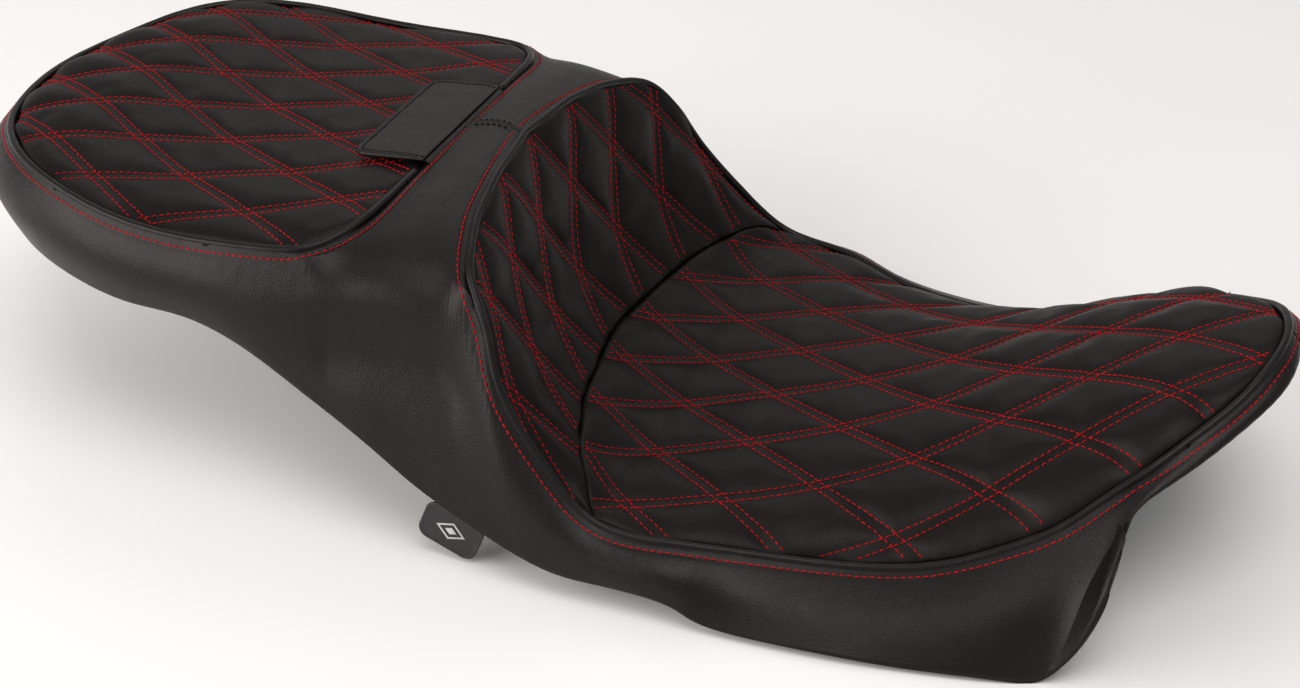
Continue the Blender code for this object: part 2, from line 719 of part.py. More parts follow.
def make_pan_and_foam(passenger, driver):
    """The moulded pan and the two foam blocks on it."""
    shares = [-1, -0.94, -0.86, -0.78, -0.7, -0.35, 0, 0.35, 0.7, 0.78, 0.86, 0.94, 1]
    pan = slab(
        "base_pan", PAN_XS, pan_half, lambda x, y: pan_height(x, y) + PAN_THICKNESS, pan_height,
        shares, "pan_plastic",
    )
    pan_top = PAN_THICKNESS + FOAM_OVER_PAN

    def foam_half(x):
        share = PAN_FLAT_SHARE if x > FOAM_NOSE_X else FOAM_PAN_SHARE
        return min(edge_y(x) - FOAM_SIDE_GAP, share * pan_half(x), FOAM_HALF_WIDTH)

    def driver_top(x, y):
        level = cover_height(x, y) - FOAM_UNDER_COVER
        if x > FOAM_BACK_X:
            level = min(level, back_foam(x))
        if x > FOAM_SEAT_X:
            level = seat_height(x, y) - PAD_THICKNESS - FOAM_UNDER_PAD
        return level

    def passenger_top(x, y):
        return pillion_height(x, y) - PAD_THICKNESS - FOAM_UNDER_PAD

    def foam_bottom(x, y):
        return pan_height(x, y) + pan_top

    foam_shares = [-1, -0.9, -0.8, -0.7, -0.35, 0, 0.35, 0.7, 0.8, 0.9, 1]
    rear_end = FOAM_SPLIT_X - FOAM_SPLIT_GAP
    front_end = FOAM_SPLIT_X + FOAM_SPLIT_GAP
    rear = [x for x in PAN_XS if FOAM_ENDS[0] < x < rear_end] + [rear_end]
    ahead = [front_end] + [x for x in PAN_XS if front_end < x < FOAM_ENDS[1]]
    foam = slab("passenger_foam", rear, foam_half, passenger_top, foam_bottom, foam_shares, "foam")
    slab("driver_foam", ahead, foam_half, driver_top, foam_bottom, foam_shares, "foam")

    flange_x = SOCKET_FLANGE[0] / 2.0 + SLOT_CLEARANCE
    flange_y = SOCKET_FLANGE[1] / 2.0 + SLOT_CLEARANCE
    tube_x = SOCKET_INSIDE[0] / 2.0 + SOCKET_WALL + SLOT_CLEARANCE
    tube_y = SOCKET_INSIDE[1] / 2.0 + SOCKET_WALL + SLOT_CLEARANCE
    cut(foam, box_cutter(
        "flange_pocket", SOCKET_X - flange_x, FLANGE_POCKET_FRONT, flange_y, *FLANGE_POCKET_Z
    ))
    cut(foam, box_cutter(
        "tube_pocket", SOCKET_X - tube_x, SOCKET_X + tube_x, tube_y, *TUBE_POCKET_Z
    ))
    return pan


def make_socket(pan):
    """The steel backrest socket on the pan, with its bolts."""
    base = pan_middle(SOCKET_X) + PAN_THICKNESS + GAP
    inside = [value / 2.0 for value in SOCKET_INSIDE]
    outside = [value + SOCKET_WALL for value in inside]
    flange = [value / 2.0 for value in SOCKET_FLANGE]
    rings = (
        (flange, base), (flange, base + SOCKET_WALL), (outside, base + SOCKET_WALL),
        (outside, SOCKET_TOP), (inside, SOCKET_TOP), (inside, base),
    )
    corners = ((1, 1), (-1, 1), (-1, -1), (1, -1))
    points = []
    for (half_x, half_y), z in rings:
        points += [(SOCKET_X + sx * half_x, sy * half_y, z) for sx, sy in corners]
    faces = []
    for level in range(len(rings)):
        after = (level + 1) % len(rings) * 4
        for k in range(4):
            a, b = level * 4 + k, level * 4 + (k + 1) % 4
            faces.append((a, b, after + (k + 1) % 4, after + k))
    socket = solid("backrest_socket", points, faces, "plated_steel")
    spots = [(sx * SOCKET_BOLTS[0], sy * SOCKET_BOLTS[1]) for sx in (1, -1) for sy in (1, -1)]
    head_base = base + SOCKET_WALL + GAP
    nut_top = pan_middle(SOCKET_X) - GAP
    for number, (dx, dy) in enumerate(spots, start=1):
        x, y = SOCKET_X + dx, dy
        radius = BOLT_RADIUS + HOLE_CLEARANCE
        hole = hole_cutter(f"socket_hole_{number}", x, y, *SOCKET_HOLE_Z, radius)
        cut(pan, hole)
        cut(socket, hole)
        bolt = turned(f"socket_bolt_{number}", (
            (BOLT_HEAD_RADIUS, nut_top - BOLT_HEAD_HEIGHT), (BOLT_HEAD_RADIUS, nut_top),
            (BOLT_RADIUS, nut_top), (BOLT_RADIUS, head_base),
            (BOLT_HEAD_RADIUS, head_base), (BOLT_HEAD_RADIUS, head_base + BOLT_HEAD_HEIGHT),
        ), "plated_steel")
        place(bolt, x, y, 0.0)


def make_flap():
    """The vinyl flap over the socket, hinged on the passenger pad's front seam."""
    half = FLAP_THICKNESS / 2.0
    outline = rounded_outline(
        -FLAP_LENGTH, -GAP, -FLAP_WIDTH / 2.0, FLAP_WIDTH / 2.0, (0, FLAP_CORNER, FLAP_CORNER, 0)
    )
    flap = plate("backrest_flap", outline, -half, half, "skirt_vinyl")
    place(flap, *FLAP_HINGE, FLAP_SLOPE)


def make_strap(pan, name, low_x, high_x, width, corner, fixings, label):
    """A flat steel strap under the pan with its row of rivets or bolts."""
    top = pan_middle(fixings[0]) - GAP
    outline = rounded_outline(
        low_x, high_x, -width / 2.0, width / 2.0,
        (corner, corner, corner, corner),
    )
    strap = plate(name, outline, top - STRAP_THICKNESS, top, "plated_steel")
    over_pan = pan_middle(fixings[0]) + PAN_THICKNESS + GAP
    under = top - STRAP_THICKNESS - GAP
    for number, x in enumerate(fixings, start=1):
        radius = BOLT_RADIUS + HOLE_CLEARANCE
        hole = hole_cutter(
            f"{label}_hole_{number}", x, 0.0, under - HOLE_REACH, over_pan + HOLE_REACH, radius
        )
        cut(pan, hole)
        cut(strap, hole)
        fixing = turned(f"{label}_{number}", (
            (BOLT_HEAD_RADIUS, under - RIVET_HEAD_HEIGHT), (BOLT_HEAD_RADIUS, under),
            (BOLT_RADIUS, under), (BOLT_RADIUS, over_pan),
            (BOLT_HEAD_RADIUS, over_pan), (BOLT_HEAD_RADIUS, over_pan + RIVET_HEAD_HEIGHT),
        ), "plated_steel")
        place(fixing, x, 0.0, 0.0)
    return strap


def make_bumpers(pan):
    """Rubber bumpers, each on a stem through the pan."""
    number = 0
    for x, y in BUMPER_SPOTS:
        for side in (1, -1):
            number += 1
            under = pan_height(x, y) - GAP
            foot = under - BUMPER_HEIGHT
            cut(pan, hole_cutter(
                f"bumper_hole_{number}", x, side * y, under - HOLE_REACH, under + HOLE_REACH,
                BUMPER_STEM_RADIUS + HOLE_CLEARANCE,
            ))
            bumper = turned(f"bumper_{number}", (
                (BUMPER_RADIUS - BUMPER_CHAMFER, foot), (BUMPER_RADIUS, foot + BUMPER_CHAMFER),
                (BUMPER_RADIUS, under), (BUMPER_STEM_RADIUS, under),
                (BUMPER_STEM_RADIUS, under + PAN_THICKNESS),
            ), "bumper_rubber")
            place(bumper, x, side * y, 0.0)


def make_tag():
    """The blank label that hangs from the right-hand hem."""
    half_x, half_z = TAG_SIZE[0] / 2.0, TAG_SIZE[1] / 2.0
    outline = rounded_outline(-half_x, half_x, -half_z, half_z, (TAG_CORNER,) * 4)
    slope = math.radians(TAG_SLOPE)
    y = -(hem_y(TAG_CENTRE[0]) - TAG_BEHIND_HEM)
    sloped = []
    for along, up in outline:
        x = TAG_CENTRE[0] + along * math.cos(slope) + up * math.sin(slope)
        z = TAG_CENTRE[1] - along * math.sin(slope) + up * math.cos(slope)
        sloped.append((x, -z))
    tag = plate("side_tag", sloped, -TAG_THICKNESS / 2.0, TAG_THICKNESS / 2.0, "tag_rubber")
    place(tag, 0.0, y, 0.0, -90.0, "X")


def main():
    for existing in list(bpy.data.objects):
        bpy.data.objects.remove(existing, do_unlink=True)
    passenger = passenger_edge()
    driver = driver_edge()
    make_skirts()
    make_pads(passenger, driver)
    make_welts(passenger, driver)
    pan = make_pan_and_foam(passenger, driver)
    make_socket(pan)
    make_flap()
    make_strap(
        pan, "front_tongue", *TONGUE_X, TONGUE_WIDTH, TONGUE_CORNER, TONGUE_RIVETS, "tongue_rivet"
    )
    tab = make_strap(pan, "rear_tab", *TAB_X, TAB_WIDTH, TAB_CORNER, TAB_BOLTS, "tab_bolt")
    tab_top = pan_middle(TAB_BOLTS[0])
    cut(tab, hole_cutter(
        "tab_screw_hole", TAB_HOLE_X, 0.0, tab_top - HOLE_REACH, tab_top + HOLE_REACH, TAB_HOLE_RADIUS
    ))
    make_bumpers(pan)
    make_tag()


main()
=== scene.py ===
import math

import bmesh
import bpy
import numpy as np
from mathutils import Matrix, Vector
from mathutils.bvhtree import BVHTree
from mathutils.kdtree import KDTree


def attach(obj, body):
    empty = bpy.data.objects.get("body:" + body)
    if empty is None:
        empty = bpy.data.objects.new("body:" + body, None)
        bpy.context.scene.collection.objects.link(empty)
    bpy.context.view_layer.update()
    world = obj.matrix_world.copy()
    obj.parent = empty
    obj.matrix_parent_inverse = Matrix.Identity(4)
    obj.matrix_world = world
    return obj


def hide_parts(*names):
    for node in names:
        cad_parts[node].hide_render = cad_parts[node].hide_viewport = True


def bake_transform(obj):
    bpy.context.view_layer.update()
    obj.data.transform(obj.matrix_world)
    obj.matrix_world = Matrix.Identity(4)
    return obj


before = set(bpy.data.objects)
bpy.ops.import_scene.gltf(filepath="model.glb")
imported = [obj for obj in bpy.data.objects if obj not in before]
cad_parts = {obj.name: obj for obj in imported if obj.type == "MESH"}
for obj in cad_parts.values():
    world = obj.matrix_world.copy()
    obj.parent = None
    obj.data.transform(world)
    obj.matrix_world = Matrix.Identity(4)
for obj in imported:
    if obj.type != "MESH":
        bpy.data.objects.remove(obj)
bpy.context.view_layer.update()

# Lengths are worked out in millimetres and written in metres.
MM = 0.001
UP = np.array([0.0, 0.0, 1.0])
MIRROR = np.array([1.0, -1.0, 1.0])

GRID_STEP = 3.4          # spacing of the simulated sheet; the finished pad is twice as fine
ROW_HALF_GAP = 2.75      # half the distance between the two rows of a sewn channel
CHANNEL_DEPTH = 0.9
PUFF = 1.9               # pillow height before the cloth is simulated
PUFF_LIMIT = 3.6         # and the most that is kept of it afterwards
PAD_THICKNESS = 7.0
STITCH_PITCH = 4.0
STITCH_SHARE = 0.72      # of the pitch that shows as thread
THREAD_RADIUS = 0.40
WELT_RADIUS = 2.4
WELT_INSET = 2.3         # from the seam in to the middle of the piping
PAD_BORDER = 4.5         # from a pad's seam to the edge of its own sheet
TOPSTITCH_OUT = 4.2      # from a pad's seam to the red line on the cover
COVER_THICKNESS = 1.6
FELLED_ROW = 3.0         # from the centre seam to each row of its black stitching
CLOTH_FRAMES = 20
SOCKET_X = -116.0
SLOT_HALF = (8.0, 41.0)
HINGE = np.array([-93.2, 0.0, 175.6])
FLAP_SIZE = (46.0, 106.0)
FLAP_CORNER = 8.0
FLAP_HEM = 3.6
FLAP_SLOPE = math.radians(4.4)
TAG_CENTRE = (-26.0, 20.0)
TAG_SLOPE = math.radians(22.0)
LABEL_SIDES = 96
LABEL_HALF = (18.0, 13.5)
LABEL_CORNER = 7.0
STAPLE_LENGTH = 9.5
STAPLE_PITCH = 17.0


# ---------------------------------------------------------------- curves

def natural(at, values):
    """Natural cubic spline through rows of values, as a function of an array of positions."""
    at = np.asarray(at, float)
    values = np.asarray(values, float)
    values = values.reshape(len(at), -1)
    gaps = np.diff(at)
    count = len(at)
    system = np.eye(count)
    right = np.zeros_like(values)
    for i in range(1, count - 1):
        system[i, i - 1:i + 2] = gaps[i - 1], 2 * (gaps[i - 1] + gaps[i]), gaps[i]
        rise = (values[i + 1] - values[i]) / gaps[i] - (values[i] - values[i - 1]) / gaps[i - 1]
        right[i] = 6 * rise
    bend = np.linalg.solve(system, right)

    def value(t):
        t = np.clip(np.asarray(t, float), at[0], at[-1])
        i = np.clip(np.searchsorted(at, t, side="right") - 1, 0, count - 2)
        before = (at[i + 1] - t)[..., None]
        after = (t - at[i])[..., None]
        gap = gaps[i][..., None]
        return (
            (bend[i] * before ** 3 + bend[i + 1] * after ** 3) / (6 * gap)
            + (values[i] / gap - bend[i] * gap / 6) * before
            + (values[i + 1] / gap - bend[i + 1] * gap / 6) * after
        )

    return value


def through(*points):
    """Smooth curve through (position, value) points that never overshoots, straight outside them."""
    xs = np.array([point[0] for point in points], float)
    ys = np.array([point[1] for point in points], float)
    steps = np.diff(ys) / np.diff(xs)
    slopes = np.zeros(len(xs))
    slopes[0] = steps[0]
    slopes[-1] = steps[-1]
    for k in range(1, len(xs) - 1):
        product = steps[k - 1] * steps[k]
        slopes[k] = 2 * product / (steps[k - 1] + steps[k]) if product > 0 else 0.0

    def value(at):
        at = np.asarray(at, float)
        kept = np.clip(at, xs[0], xs[-1])
        k = np.clip(np.searchsorted(xs, kept, side="right") - 1, 0, len(xs) - 2)
        span = xs[k + 1] - xs[k]
        u = (kept - xs[k]) / span
        level = (
            ys[k] * (1 + 2 * u) * (1 - u) ** 2 + ys[k + 1] * u * u * (3 - 2 * u)
            + span * slopes[k] * u * (1 - u) ** 2 + span * slopes[k + 1] * u * u * (u - 1)
        )
        before = np.where(at < xs[0], (at - xs[0]) * slopes[0], 0.0)
        return level + before + np.where(at > xs[-1], (at - xs[-1]) * slopes[-1], 0.0)

    return value


def held(curve, low, high):
    """A curve that stays level outside low to high."""
    return lambda at: curve(np.clip(at, low, high))


# Shape of the seat, the same stations as the CAD model's
pillion_top = held(through(
    (-378, 166), (-360, 171), (-311, 175), (-267, 169), (-221, 164), (-170, 164),
    (-123, 168), (-94, 171.5),
), -378, -94)
bridge_top = held(through(
    (-120, 169), (-94, 173), (-84, 176.5), (-70, 178.5), (-56, 176), (-20, 168),
), -120, -20)
seat_top = held(through(
    (1, 57), (18, 51), (64, 46), (110, 48), (157, 53), (202, 63), (243, 80), (286, 101),
    (329, 121), (371, 134), (384, 138),
), 1, 384)
pan_edge = held(through(
    (-362, 128), (-280, 120), (-192, 114), (-152, 103), (-114, 86), (-78, 68), (-46, 49),
    (-12, 35), (18, 24), (46, 19), (106, 16), (124, 9), (178, 7), (237, 5), (270, 12),
    (285, 22), (300, 40), (304, 50), (311, 72), (323, 84), (339, 96), (353, 104),
), -362, 353)
pan_half = held(through(
    (-362, 2), (-355, 40), (-340, 75), (-310, 107), (-280, 126), (-231, 137), (-190, 140),
    (-150, 143), (-114, 147), (-78, 152), (-46, 157), (-12, 162), (18, 165), (72, 167),
    (124, 167), (178, 165), (237, 157), (270, 149), (285, 143), (298, 132), (304, 95),
    (311, 77), (323, 60), (339, 36), (353, 2),
), -362, 353)

# Half of the upholstery's rim from the tail to the nose: top edge, widest point and hem
RIM = np.array((
    ((-378, 0, 164), (-389, 0, 147), (-382, 0, 126)),
    ((-374, 35, 164), (-385, 41, 147), (-378, 39, 126)),
    ((-362, 67, 166), (-373, 77, 147), (-366, 74, 126)),
    ((-343, 96, 170), (-351, 108, 147), (-345, 104, 125)),
    ((-319, 120, 171), (-323, 132, 145), (-318, 128, 123)),
    ((-280, 141, 167), (-282, 152, 143), (-280, 148, 119)),
    ((-231, 152, 160), (-231, 163, 139), (-231, 158, 113)),
    ((-190, 154, 158), (-190, 165, 137), (-192, 161, 113)),
    ((-150, 152, 159), (-150, 165, 133), (-152, 164, 102)),
    ((-118, 148, 160), (-113, 163, 126), (-114, 169, 84)),
    ((-90, 146, 161), (-82, 161, 118), (-78, 174, 66)),
    ((-60, 143, 159), (-52, 161, 106), (-46, 178, 47)),
    ((-29, 139, 153), (-22, 164, 91), (-12, 183, 33)),
    ((-8, 155, 116), (0, 175, 72), (18, 186, 22)),
    ((25, 168, 71), (32, 183, 46), (46, 188, 17)),
    ((57, 173, 44), (63, 187, 31), (72, 188, 17)),
    ((101, 168, 38), (104, 184, 28), (106, 188, 14)),
    ((133, 157, 33), (128, 178, 22), (124, 188, 7)),
    ((178, 146, 30), (178, 169, 19), (178, 186, 5)),
    ((237, 135, 38), (240, 160, 24), (240, 178, 3.5)),
    ((270, 126, 52), (276, 152, 32), (280, 169, 1.6)),
    ((292, 118, 64), (298, 142, 42), (303, 161, 7)),
    ((308, 109, 77), (316, 132, 60), (321, 153, 48)),
    ((319, 102, 86), (325, 119, 79), (324, 128, 73)),
    ((331, 94, 95), (334, 106, 89), (326, 94, 79)),
    ((345, 80, 105), (350, 88, 98), (338, 74, 90)),
    ((364, 58, 118), (370, 62, 111), (356, 48, 102)),
    ((379, 30, 131), (387, 33, 124), (371, 28, 113)),
    ((384, 0, 135), (390, 0, 128), (375, 0, 116)),
), float)
PILLION_FRONT = np.array((
    (-118, 148, 160), (-107, 133, 163), (-98, 112, 167), (-94.5, 80, 169.5),
    (-92.5, 40, 172), (-92, 0, 173),
), float)
BACK_ARC = np.array((
    (-29, 139, 153), (-35, 124, 159), (-40.5, 107, 164), (-45, 91, 168), (-48, 73, 171),
    (-50.5, 54, 174), (-53, 31, 175), (-56, 0, 176),
), float)
SEAM = np.array((
    (1, 0, 57), (8, 44, 57), (17, 91, 58), (29, 121, 59), (42, 148, 57), (55, 171, 46),
), float)


def distance_along(points):
    """Length of a polyline up to each of its points."""
    return np.concatenate([[0.0], np.cumsum(np.linalg.norm(np.diff(points, axis=0), axis=1))])


def places_at(at, along, points):
    """Points of a polyline at some lengths, where along is the length up to each of its points."""
    return np.stack([np.interp(at, along, points[:, axis]) for axis in range(points.shape[1])], axis=1)


def rim_line(column):
    """One line round the rim's left half, by its share of the top edge's length from the tail."""
    points = RIM[:, column]
    points = np.concatenate([[points[1] * MIRROR], points, [points[-2] * MIRROR]])
    lengths = np.linalg.norm(np.diff(RIM[:, 0], axis=0), axis=1)
    lengths = np.concatenate([[lengths[0]], lengths, [lengths[-1]]])
    along = np.concatenate([[0.0], np.cumsum(lengths)]) - lengths[0]
    return natural(along / along[-2], points)


def chord_line(points):
    """A smooth line through points, by its share of the length between them."""
    along = distance_along(points)
    return natural(along / along[-1], points)


top_edge = rim_line(0)
widest_line = rim_line(1)
hem_line = rim_line(2)
pillion_front = chord_line(PILLION_FRONT)
back_arc = chord_line(BACK_ARC)
seam_line = chord_line(SEAM)
edge_y = held(through(*[(row[0][0], row[0][1]) for row in RIM]), -378, 384)
edge_z = held(through(*[(row[0][0], row[0][2]) for row in RIM]), -378, 384)
hem_y = held(through(*[(row[2][0], row[2][1]) for row in RIM]), -382, 375)


def rim_position(x):
    """The share of the rim's length at which its top edge passes x."""
    at = np.linspace(0.0, 1.0, 8001)
    return float(np.interp(x, top_edge(at)[:, 0], at))


BRIDGE_START = rim_position(PILLION_FRONT[0][0])
BRIDGE_STOP = rim_position(BACK_ARC[0][0])


def across(x, y):
    """0 on the centre line, 1 at the rim."""
    return np.clip(np.abs(y) / np.maximum(edge_y(x), 1.0), 0.0, 1.0)


# Heights over a point of the plan: the bridge, and the two pads that lie level
def cover_height(x, y):
    return bridge_top(x) - (bridge_top(x) - edge_z(x)) * across(x, y) ** 2.2


def pillion_height(x, y):
    return pillion_top(x) - (pillion_top(x) - edge_z(x)) * across(x, y) ** 6


def seat_height(x, y):
    return seat_top(x) - (seat_top(x) - edge_z(x)) * across(x, y) ** 3


def smooth_step(t):
    t = np.clip(t, 0.0, 1.0)
    return t * t * (3.0 - 2.0 * t)


def unit(vectors):
    return vectors / np.maximum(np.linalg.norm(vectors, axis=-1, keepdims=True), 1e-12)


def resample(points, step=None, count=None):
    """The same polyline with evenly spaced points, keeping both ends."""
    along = distance_along(points)
    count = count or max(2, int(round(along[-1] / step)) + 1)
    return places_at(np.linspace(0.0, along[-1], count), along, points)


def smooth_along(values, width):
    """Moving average down the rows of an array, ends held."""
    kernel = np.hanning(2 * width + 3)[1:-1]
    kernel /= kernel.sum()
    padded = np.concatenate([values[:1].repeat(width, 0), values, values[-1:].repeat(width, 0)])
    return np.stack([np.convolve(column, kernel, mode="valid") for column in padded.T], axis=1)


def closed_loop(half):
    """A loop from its left half, both of whose end points lie on the centre line."""
    return np.concatenate([half, half[-2:0:-1] * MIRROR])


def loop_frames(loop, closed=True):
    """Directions inwards and upwards, square to a loop, at each of its points."""
    if closed:
        ahead = np.roll(loop, -2, axis=0) - np.roll(loop, 2, axis=0)
    else:
        ahead = np.gradient(loop, axis=0)
    ahead = unit(ahead)
    inward = unit(np.cross(UP, ahead))
    if np.einsum("ij,ij->i", inward, loop.mean(axis=0) - loop).sum() < 0:
        inward = -inward
    upward = np.cross(ahead, inward)
    upward *= np.sign(upward[:, 2:3])
    return inward, upward


def soften(line, corner, rounds=130, reach=26.0):
    """Round a corner of a line whose points lie 1.5 mm apart."""
    line = line.copy()
    weight = np.exp(-(np.linalg.norm(line - np.array(corner, float), axis=1) / reach) ** 4)[1:-1, None]
    for _ in range(rounds):
        line[1:-1] += weight * (line[:-2] + line[2:] - 2 * line[1:-1]) / 4.0
    return line


def passenger_half():
    """The left half of the passenger pad's outline, from the tail round to its front."""
    rear = top_edge(np.linspace(0.0, BRIDGE_START, 200))
    front = pillion_front(np.linspace(0.0, 1.0, 120))
    return soften(resample(np.concatenate([rear, front[1:]]), 1.5), PILLION_FRONT[0])


def driver_half():
    """The left half of the outline of the rider's two pads, from the bridge round to the nose."""
    back = back_arc(np.linspace(1.0, 0.0, 120))
    sides = top_edge(np.linspace(BRIDGE_STOP, 1.0, 400))
    return soften(resample(np.concatenate([back, sides[1:]]), 1.5), BACK_ARC[0])


def inset_half(half, inset):
    """The left half of a loop, moved inwards, ending on the centre line."""
    loop = closed_loop(half)
    moved = (loop + loop_frames(loop)[0] * inset)[:len(half)]
    moved[[0, -1], 1] = 0.0
    moved[:, 1] = np.maximum(moved[:, 1], 0.0)
    return moved


# ---------------------------------------------------------------- meshes

def make_object(name, points, faces, materials, face_materials=None, sharp=None):
    """A mesh piece from points in millimetres."""
    mesh = bpy.data.meshes.new(name)
    mesh.from_pydata((np.asarray(points, float) * MM).tolist(), [], faces)
    for item in materials if isinstance(materials, (list, tuple)) else [materials]:
        mesh.materials.append(item)
    if face_materials is not None:
        mesh.polygons.foreach_set("material_index", face_materials)
    mesh.shade_smooth()
    if sharp:
        mesh.set_sharp_from_angle(angle=math.radians(sharp))
    made = bpy.data.objects.new(name, mesh)
    bpy.context.scene.collection.objects.link(made)
    return made


def turn_outwards(piece, merge=None):
    """Turn all faces outwards, after merging points that lie within a distance."""
    work = bmesh.new()
    work.from_mesh(piece.data)
    if merge:
        bmesh.ops.remove_doubles(work, verts=work.verts, dist=merge * MM)
        bmesh.ops.dissolve_degenerate(work, edges=work.edges, dist=0.005 * MM)
    bmesh.ops.recalc_face_normals(work, faces=work.faces)
    work.to_mesh(piece.data)
    work.free()
    return piece


def tidy_mesh(piece, distance=0.02):
    """Merge a smooth piece's doubled points and turn its faces outwards."""
    turn_outwards(piece, distance).data.shade_smooth()
    return piece


def ring_faces(rings, sides, start=0, closed=False):
    """Quads between rings of points that follow each other."""
    faces = []
    for i in range(rings if closed else rings - 1):
        here, after = start + i * sides, start + (i + 1) % rings * sides
        for k in range(sides):
            k2 = (k + 1) % sides
            faces.append((here + k, here + k2, after + k2, after + k))
    return faces


def grid_faces(rows, columns, start=0, flip=False):
    """Quads of a grid of points whose first point has the index start."""
    i, j = np.meshgrid(np.arange(rows - 1), np.arange(columns - 1), indexing="ij")
    a = (start + i * columns + j).ravel()
    quads = np.stack([a, a + 1, a + columns + 1, a + columns], axis=1)
    return (quads[:, ::-1] if flip else quads).tolist()


def border_indices(rows, columns, stride=1):
    """Indices round a grid's border, every stride-th point."""
    ring = list(range(0, columns - 1, stride))
    ring += [i * columns + columns - 1 for i in range(0, rows - 1, stride)]
    ring += [(rows - 1) * columns + j for j in range(columns - 1, 0, -stride)]
    ring += [i * columns for i in range(rows - 1, 0, -stride)]
    return ring


def thick_grid(name, grid, thickness, material, normals=None):
    """A closed sheet: a grid of points and the same grid moved back by its thickness."""
    rows, columns = grid.shape[:2]
    if normals is None:
        normals = unit(np.cross(np.gradient(grid, axis=0), np.gradient(grid, axis=1)))
    back = grid - normals * thickness
    half = rows * columns
    faces = grid_faces(rows, columns) + grid_faces(rows, columns, half, flip=True)
    ring = border_indices(rows, columns)
    for a, b in zip(ring, ring[1:] + ring[:1]):
        faces.append((b, a, half + a, half + b))
    points = np.concatenate([grid.reshape(-1, 3), back.reshape(-1, 3)])
    return tidy_mesh(make_object(name, points, faces, material))


def tube(name, centres, inward, upward, radius, closed, material, sides=14):
    """A round cord along points, with rounded ends where it's open."""
    count = len(centres)
    turns = 2.0 * math.pi * np.arange(sides) / sides
    radii = np.broadcast_to(np.asarray(radius, float), (count,)).copy()
    if not closed:
        radii[0] *= 0.5
        radii[-1] *= 0.5
    out, up = np.cos(turns)[None, :, None], np.sin(turns)[None, :, None]
    rings = centres[:, None] + radii[:, None, None] * (out * inward[:, None] + up * upward[:, None])
    faces = ring_faces(count, sides, closed=closed)
    if not closed:
        faces.append(tuple(range(sides)))
        faces.append(tuple((count - 1) * sides + k for k in range(sides)))
    return tidy_mesh(make_object(name, rings.reshape(-1, 3), faces, material))


def capsules(name, centres, along, lift, lengths, radius, material, sides=6, bow=0.0):
    """Many short threads as one mesh: rounded rods, their middles a little higher than their ends."""
    stations = np.array([-0.5, -0.38, 0.0, 0.38, 0.5])
    widths = np.array([0.35, 0.9, 1.0, 0.9, 0.35]) * radius
    rise = np.array([-1.0, -0.35, 0.15, -0.35, -1.0]) * bow
    along = unit(along)
    side = unit(np.cross(along, lift))
    lift = np.cross(side, along)
    turns = 2.0 * math.pi * np.arange(sides) / sides
    points = (
        centres[:, None, None]
        + (lengths[:, None] * stations[None])[:, :, None, None] * along[:, None, None]
        + rise[None, :, None, None] * lift[:, None, None]
        + widths[None, :, None, None] * (
            np.cos(turns)[None, None, :, None] * side[:, None, None]
            + np.sin(turns)[None, None, :, None] * lift[:, None, None]
        )
    )
    count = len(centres)
    rings = len(stations)
    each = rings * sides
    local = np.array([(a, d, c, b) for a, b, c, d in ring_faces(rings, sides)])
    faces = (np.arange(count)[:, None, None] * each + local[None]).reshape(-1, 4).tolist()
    for n in range(count):
        faces.append(tuple(n * each + k for k in range(sides)))
        faces.append(tuple(n * each + (rings - 1) * sides + k for k in range(sides - 1, -1, -1)))
    return make_object(name, points.reshape(-1, 3), faces, material)


# ---------------------------------------------------------------- materials

def node(tree, kind, **settings):
    """A new node; settings name its input sockets or its own properties."""
    made = tree.nodes.new(kind)
    for key, value in settings.items():
        if key in made.inputs:
            made.inputs[key].default_value = value
        else:
            setattr(made, key, value)
    return made


def start_material(name, colour, roughness, metallic=0.0):
    """A material with its node tree, its shader and the object's coordinates."""
    made = bpy.data.materials.new(name)
    made.use_nodes = True
    tree = made.node_tree
    shader = tree.nodes["Principled BSDF"]
    shader.inputs["Base Color"].default_value = (*colour, 1.0)
    shader.inputs["Roughness"].default_value = roughness
    shader.inputs["Metallic"].default_value = metallic
    coords = node(tree, "ShaderNodeTexCoord")
    return made, tree, shader, coords.outputs["Object"]


def ramp(tree, source, low, high, colours):
    """A two-colour ramp of a value between low and high."""
    made = node(tree, "ShaderNodeValToRGB")
    made.color_ramp.elements[0].position = low
    made.color_ramp.elements[1].position = high
    made.color_ramp.elements[0].color = (*colours[0], 1.0)
    made.color_ramp.elements[1].color = (*colours[1], 1.0)
    tree.links.new(source, made.inputs[0])
    return made.outputs[0]


def ranged(tree, source, low, high):
    """A value from 0 to 1 mapped on to low to high."""
    made = node(tree, "ShaderNodeMapRange")
    made.inputs["To Min"].default_value = low
    made.inputs["To Max"].default_value = high
    tree.links.new(source, made.inputs["Value"])
    return made.outputs[0]


def bump(tree, shader, heights):
    """Chain bump layers, each a (height, strength, distance in metres)."""
    normal = None
    for height, strength, distance in heights:
        made = node(tree, "ShaderNodeBump", Strength=strength, Distance=distance)
        tree.links.new(height, made.inputs["Height"])
        if normal is not None:
            tree.links.new(normal, made.inputs["Normal"])
        normal = made.outputs[0]
    tree.links.new(normal, shader.inputs["Normal"])


def noise(tree, place, scale, detail=3.0, rough=0.5):
    made = node(tree, "ShaderNodeTexNoise", Scale=scale, Detail=detail, Roughness=rough)
    tree.links.new(place, made.inputs["Vector"])
    return made.outputs["Fac"]


def cells(tree, place, scale):
    made = node(tree, "ShaderNodeTexVoronoi", feature="DISTANCE_TO_EDGE", Scale=scale)
    tree.links.new(place, made.inputs["Vector"])
    return made.outputs["Distance"]


